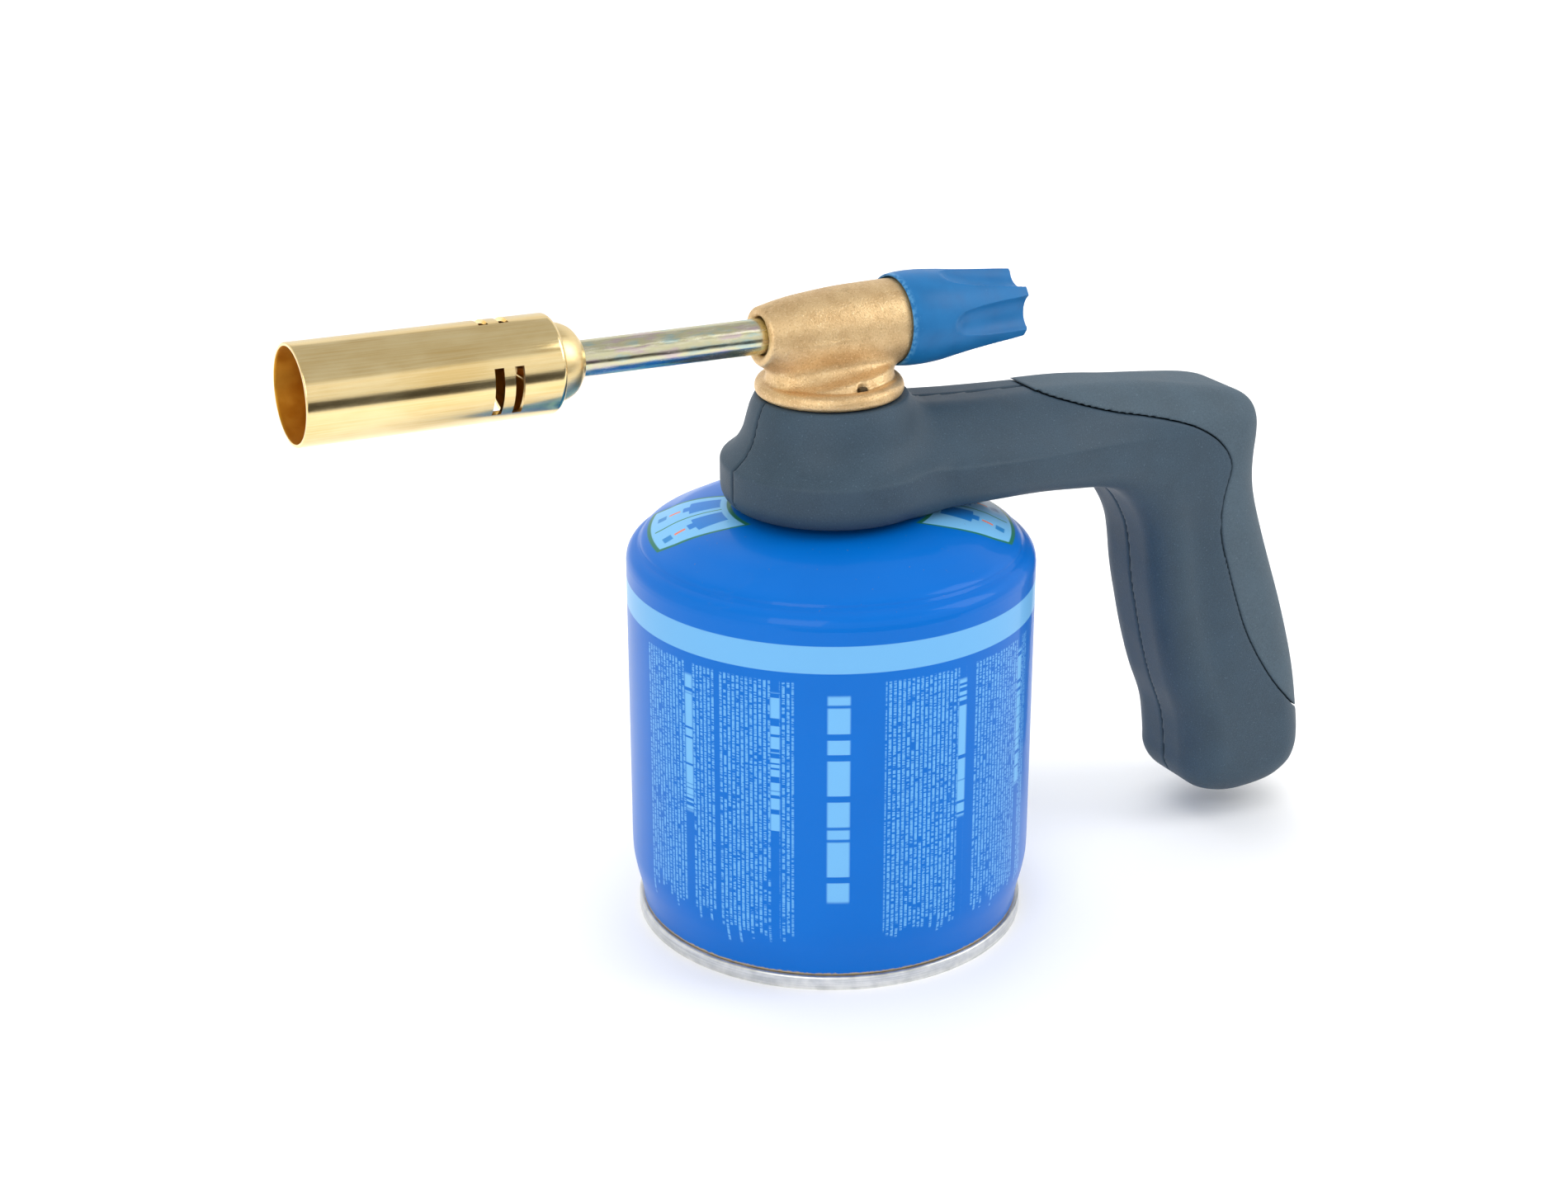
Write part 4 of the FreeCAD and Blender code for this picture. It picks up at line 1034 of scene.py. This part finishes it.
def knob_ring(station, radius, angle):
    """The knob's radius at every angle, with the flutes cut in and their edges softened."""
    ring = np.full(len(angle), radius)
    if station <= FLUTE_START:
        return ring
    depth = np.interp(station, *FLUTE_DEPTH)
    wide = np.interp(station, *FLUTE_RADIUS)
    reach = radius - depth + wide
    for k in range(FLUTES):
        turn = (angle + math.pi / 2 - k * 2 * math.pi / FLUTES + math.pi) % (2 * math.pi) - math.pi
        room = wide**2 - (reach * np.sin(turn)) ** 2
        cut = reach * np.cos(turn) - np.sqrt(np.maximum(room, 0))
        cut = np.where((room > 0) & (np.abs(turn) < 1.2), cut, radius + 1)
        soft = np.clip(0.5 + 0.5 * (ring - cut) / FLUTE_BLEND, 0, 1)
        ring = ring * (1 - soft) + cut * soft - FLUTE_BLEND * soft * (1 - soft)
    return ring


def knob_skin():
    """The knob: a fluted outside, a closed rear and the socket in its front."""
    count = KNOB_SEGMENTS
    angle = np.arange(count) * 2 * math.pi / count
    points = []
    for station, radius in through(KNOB_LINE, 9):
        ring = knob_ring(station, radius, angle)
        points.append(np.stack([ring * np.cos(angle), ring * np.sin(angle), np.full(count, station)], 1))
    last = points[-1].copy()
    for inset, rise in KNOB_CLOSE:
        scale = (np.linalg.norm(last[:, :2], axis=1) - inset) / np.linalg.norm(last[:, :2], axis=1)
        ring = last.copy()
        ring[:, :2] *= scale[:, None]
        ring[:, 2] += rise
        points.append(ring)
    rows = len(points)
    faces = []
    for i in range(rows - 1):
        for k in range(count):
            n = (k + 1) % count
            faces.append((i * count + k, i * count + n, (i + 1) * count + n, (i + 1) * count + k))
    flat = np.vstack(points + [[(0, 0, KNOB_REAR)]])
    edge = (rows - 1) * count
    faces += [(edge + k, edge + (k + 1) % count, len(flat) - 1) for k in range(count)]
    lining, lining_faces = lathe(rounded(KNOB_SOCKET), count)
    faces += [tuple(v + len(flat) for v in f) for f in lining_faces]
    return welded(np.vstack([flat, lining]), faces)


points, faces = knob_skin()
knob = add_mesh("valve_knob", along_barrel(points), faces, "knob", finishes["knob_plastic"], 42)
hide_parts("knob")


# ---------------------------------------------------------------- floor, light and camera
FLOOR_SIZE = 14.0
FLOOR_PLACE = (0, 2.0, 0)
bpy.ops.mesh.primitive_plane_add(size=FLOOR_SIZE, location=FLOOR_PLACE)
floor = bpy.context.object
floor.name = "floor"
floor_paint = Paint("floor_paper", **{"Roughness": 0.9, "Specular IOR Level": 0.1})
floor_tone = floor_paint.mix(floor_paint.noise(90.0), (0.95, 0.95, 0.95), (0.97, 0.97, 0.97))
floor_paint.give("Base Color", floor_tone)
floor.data.materials.append(floor_paint.material)

# A dark card on the floor gives the metal its dark streaks. Only reflections see it.
CARD_PLACE = (0.8, -1.25, 0.0005)
CARD_SCALE = (2.6, 1.9, 1.0)
bpy.ops.mesh.primitive_plane_add(size=1.0, location=CARD_PLACE)
card = bpy.context.object
card.name = "dark_card"
card.scale = CARD_SCALE
card_paint = Paint("card_paper", **{"Roughness": 0.9, "Specular IOR Level": 0.1})
card_tone = card_paint.mix(card_paint.noise(90.0), (0.03, 0.03, 0.03), (0.04, 0.04, 0.04))
card_paint.give("Base Color", card_tone)
card.data.materials.append(card_paint.material)
card.visible_camera = False
card.visible_diffuse = False
card.visible_shadow = False


def soft_light(name, place, target, size, power):
    """A white area light at place, in metres, aimed at target and hidden from the camera."""
    lamp = bpy.data.lights.new(name, "AREA")
    lamp.shape = "RECTANGLE"
    lamp.size, lamp.size_y = size
    lamp.energy = power
    lamp_object = bpy.data.objects.new(name, lamp)
    lamp_object.location = place
    aim = Vector(target) - Vector(place)
    lamp_object.rotation_euler = aim.to_track_quat("-Z", "Y").to_euler()
    bpy.context.scene.collection.objects.link(lamp_object)
    lamp_object.visible_camera = False
    return lamp_object


overhead = soft_light("overhead", (0.0, 0.1, 1.3), (0, 0, 0.08), (1.5, 1.5), 8.5)
overhead.visible_glossy = False
soft_light("left_box", (-0.9, -0.8, 0.75), (0, 0, 0.09), (0.7, 0.9), 4.8)
soft_light("right_box", (0.95, -0.55, 0.8), (0.02, 0, 0.09), (0.6, 0.8), 4.2)

far_wash = soft_light("far_wash", (0.75, 1.6, 1.3), (0.75, 1.6, 0), (2.6, 1.4), 22)
far_wash.visible_glossy = False

# The world is bright up to 31 degrees above the horizon, and darker from 38 degrees up.
world = bpy.data.worlds.new("studio")
bpy.context.scene.world = world
world.use_nodes = True
tree = world.node_tree
place = tree.nodes.new("ShaderNodeTexCoord")
split = tree.nodes.new("ShaderNodeSeparateXYZ")
shade = tree.nodes.new("ShaderNodeValToRGB")
background = tree.nodes["Background"]
tree.links.new(place.outputs["Generated"], split.inputs[0])
tree.links.new(split.outputs["Z"], shade.inputs["Fac"])
tree.links.new(shade.outputs["Color"], background.inputs["Color"])
stops = shade.color_ramp.elements
stops[0].position = 0.0
stops[0].color = (0.90, 0.90, 0.90, 1)
stops[1].position = 1.0
stops[1].color = (0.55, 0.55, 0.55, 1)
for position, level in ((0.52, 1.0), (0.62, 0.55)):
    stop = stops.new(position)
    stop.color = (level, level, level, 1)
background.inputs["Strength"].default_value = 1.0

# The camera stands where the photograph was taken from.
SENSOR_WIDTH = 36.0
FOCAL_LENGTH = 60.556
NEAREST = 0.01
CAMERA_PLACE = (-0.26599, -0.47206, 0.29136)
camera_data = bpy.data.cameras.new("camera")
camera_data.sensor_width = SENSOR_WIDTH
camera_data.lens = FOCAL_LENGTH
camera_data.clip_start = NEAREST
camera = bpy.data.objects.new("camera", camera_data)
bpy.context.scene.collection.objects.link(camera)
right = Vector((0.88039, -0.47424, 0.0))
up = Vector((0.17535, 0.32552, 0.92913))
ahead = Vector((0.44063, 0.81800, -0.36975))
roll = -0.0020944
turned_right = right + up * roll
turned_up = up - right * roll
matrix = Matrix((turned_right, turned_up, -ahead)).transposed().to_4x4()
matrix.translation = Vector(CAMERA_PLACE)
camera.matrix_world = matrix
bpy.context.scene.camera = camera
bpy.context.scene.view_settings.view_transform = "Standard"
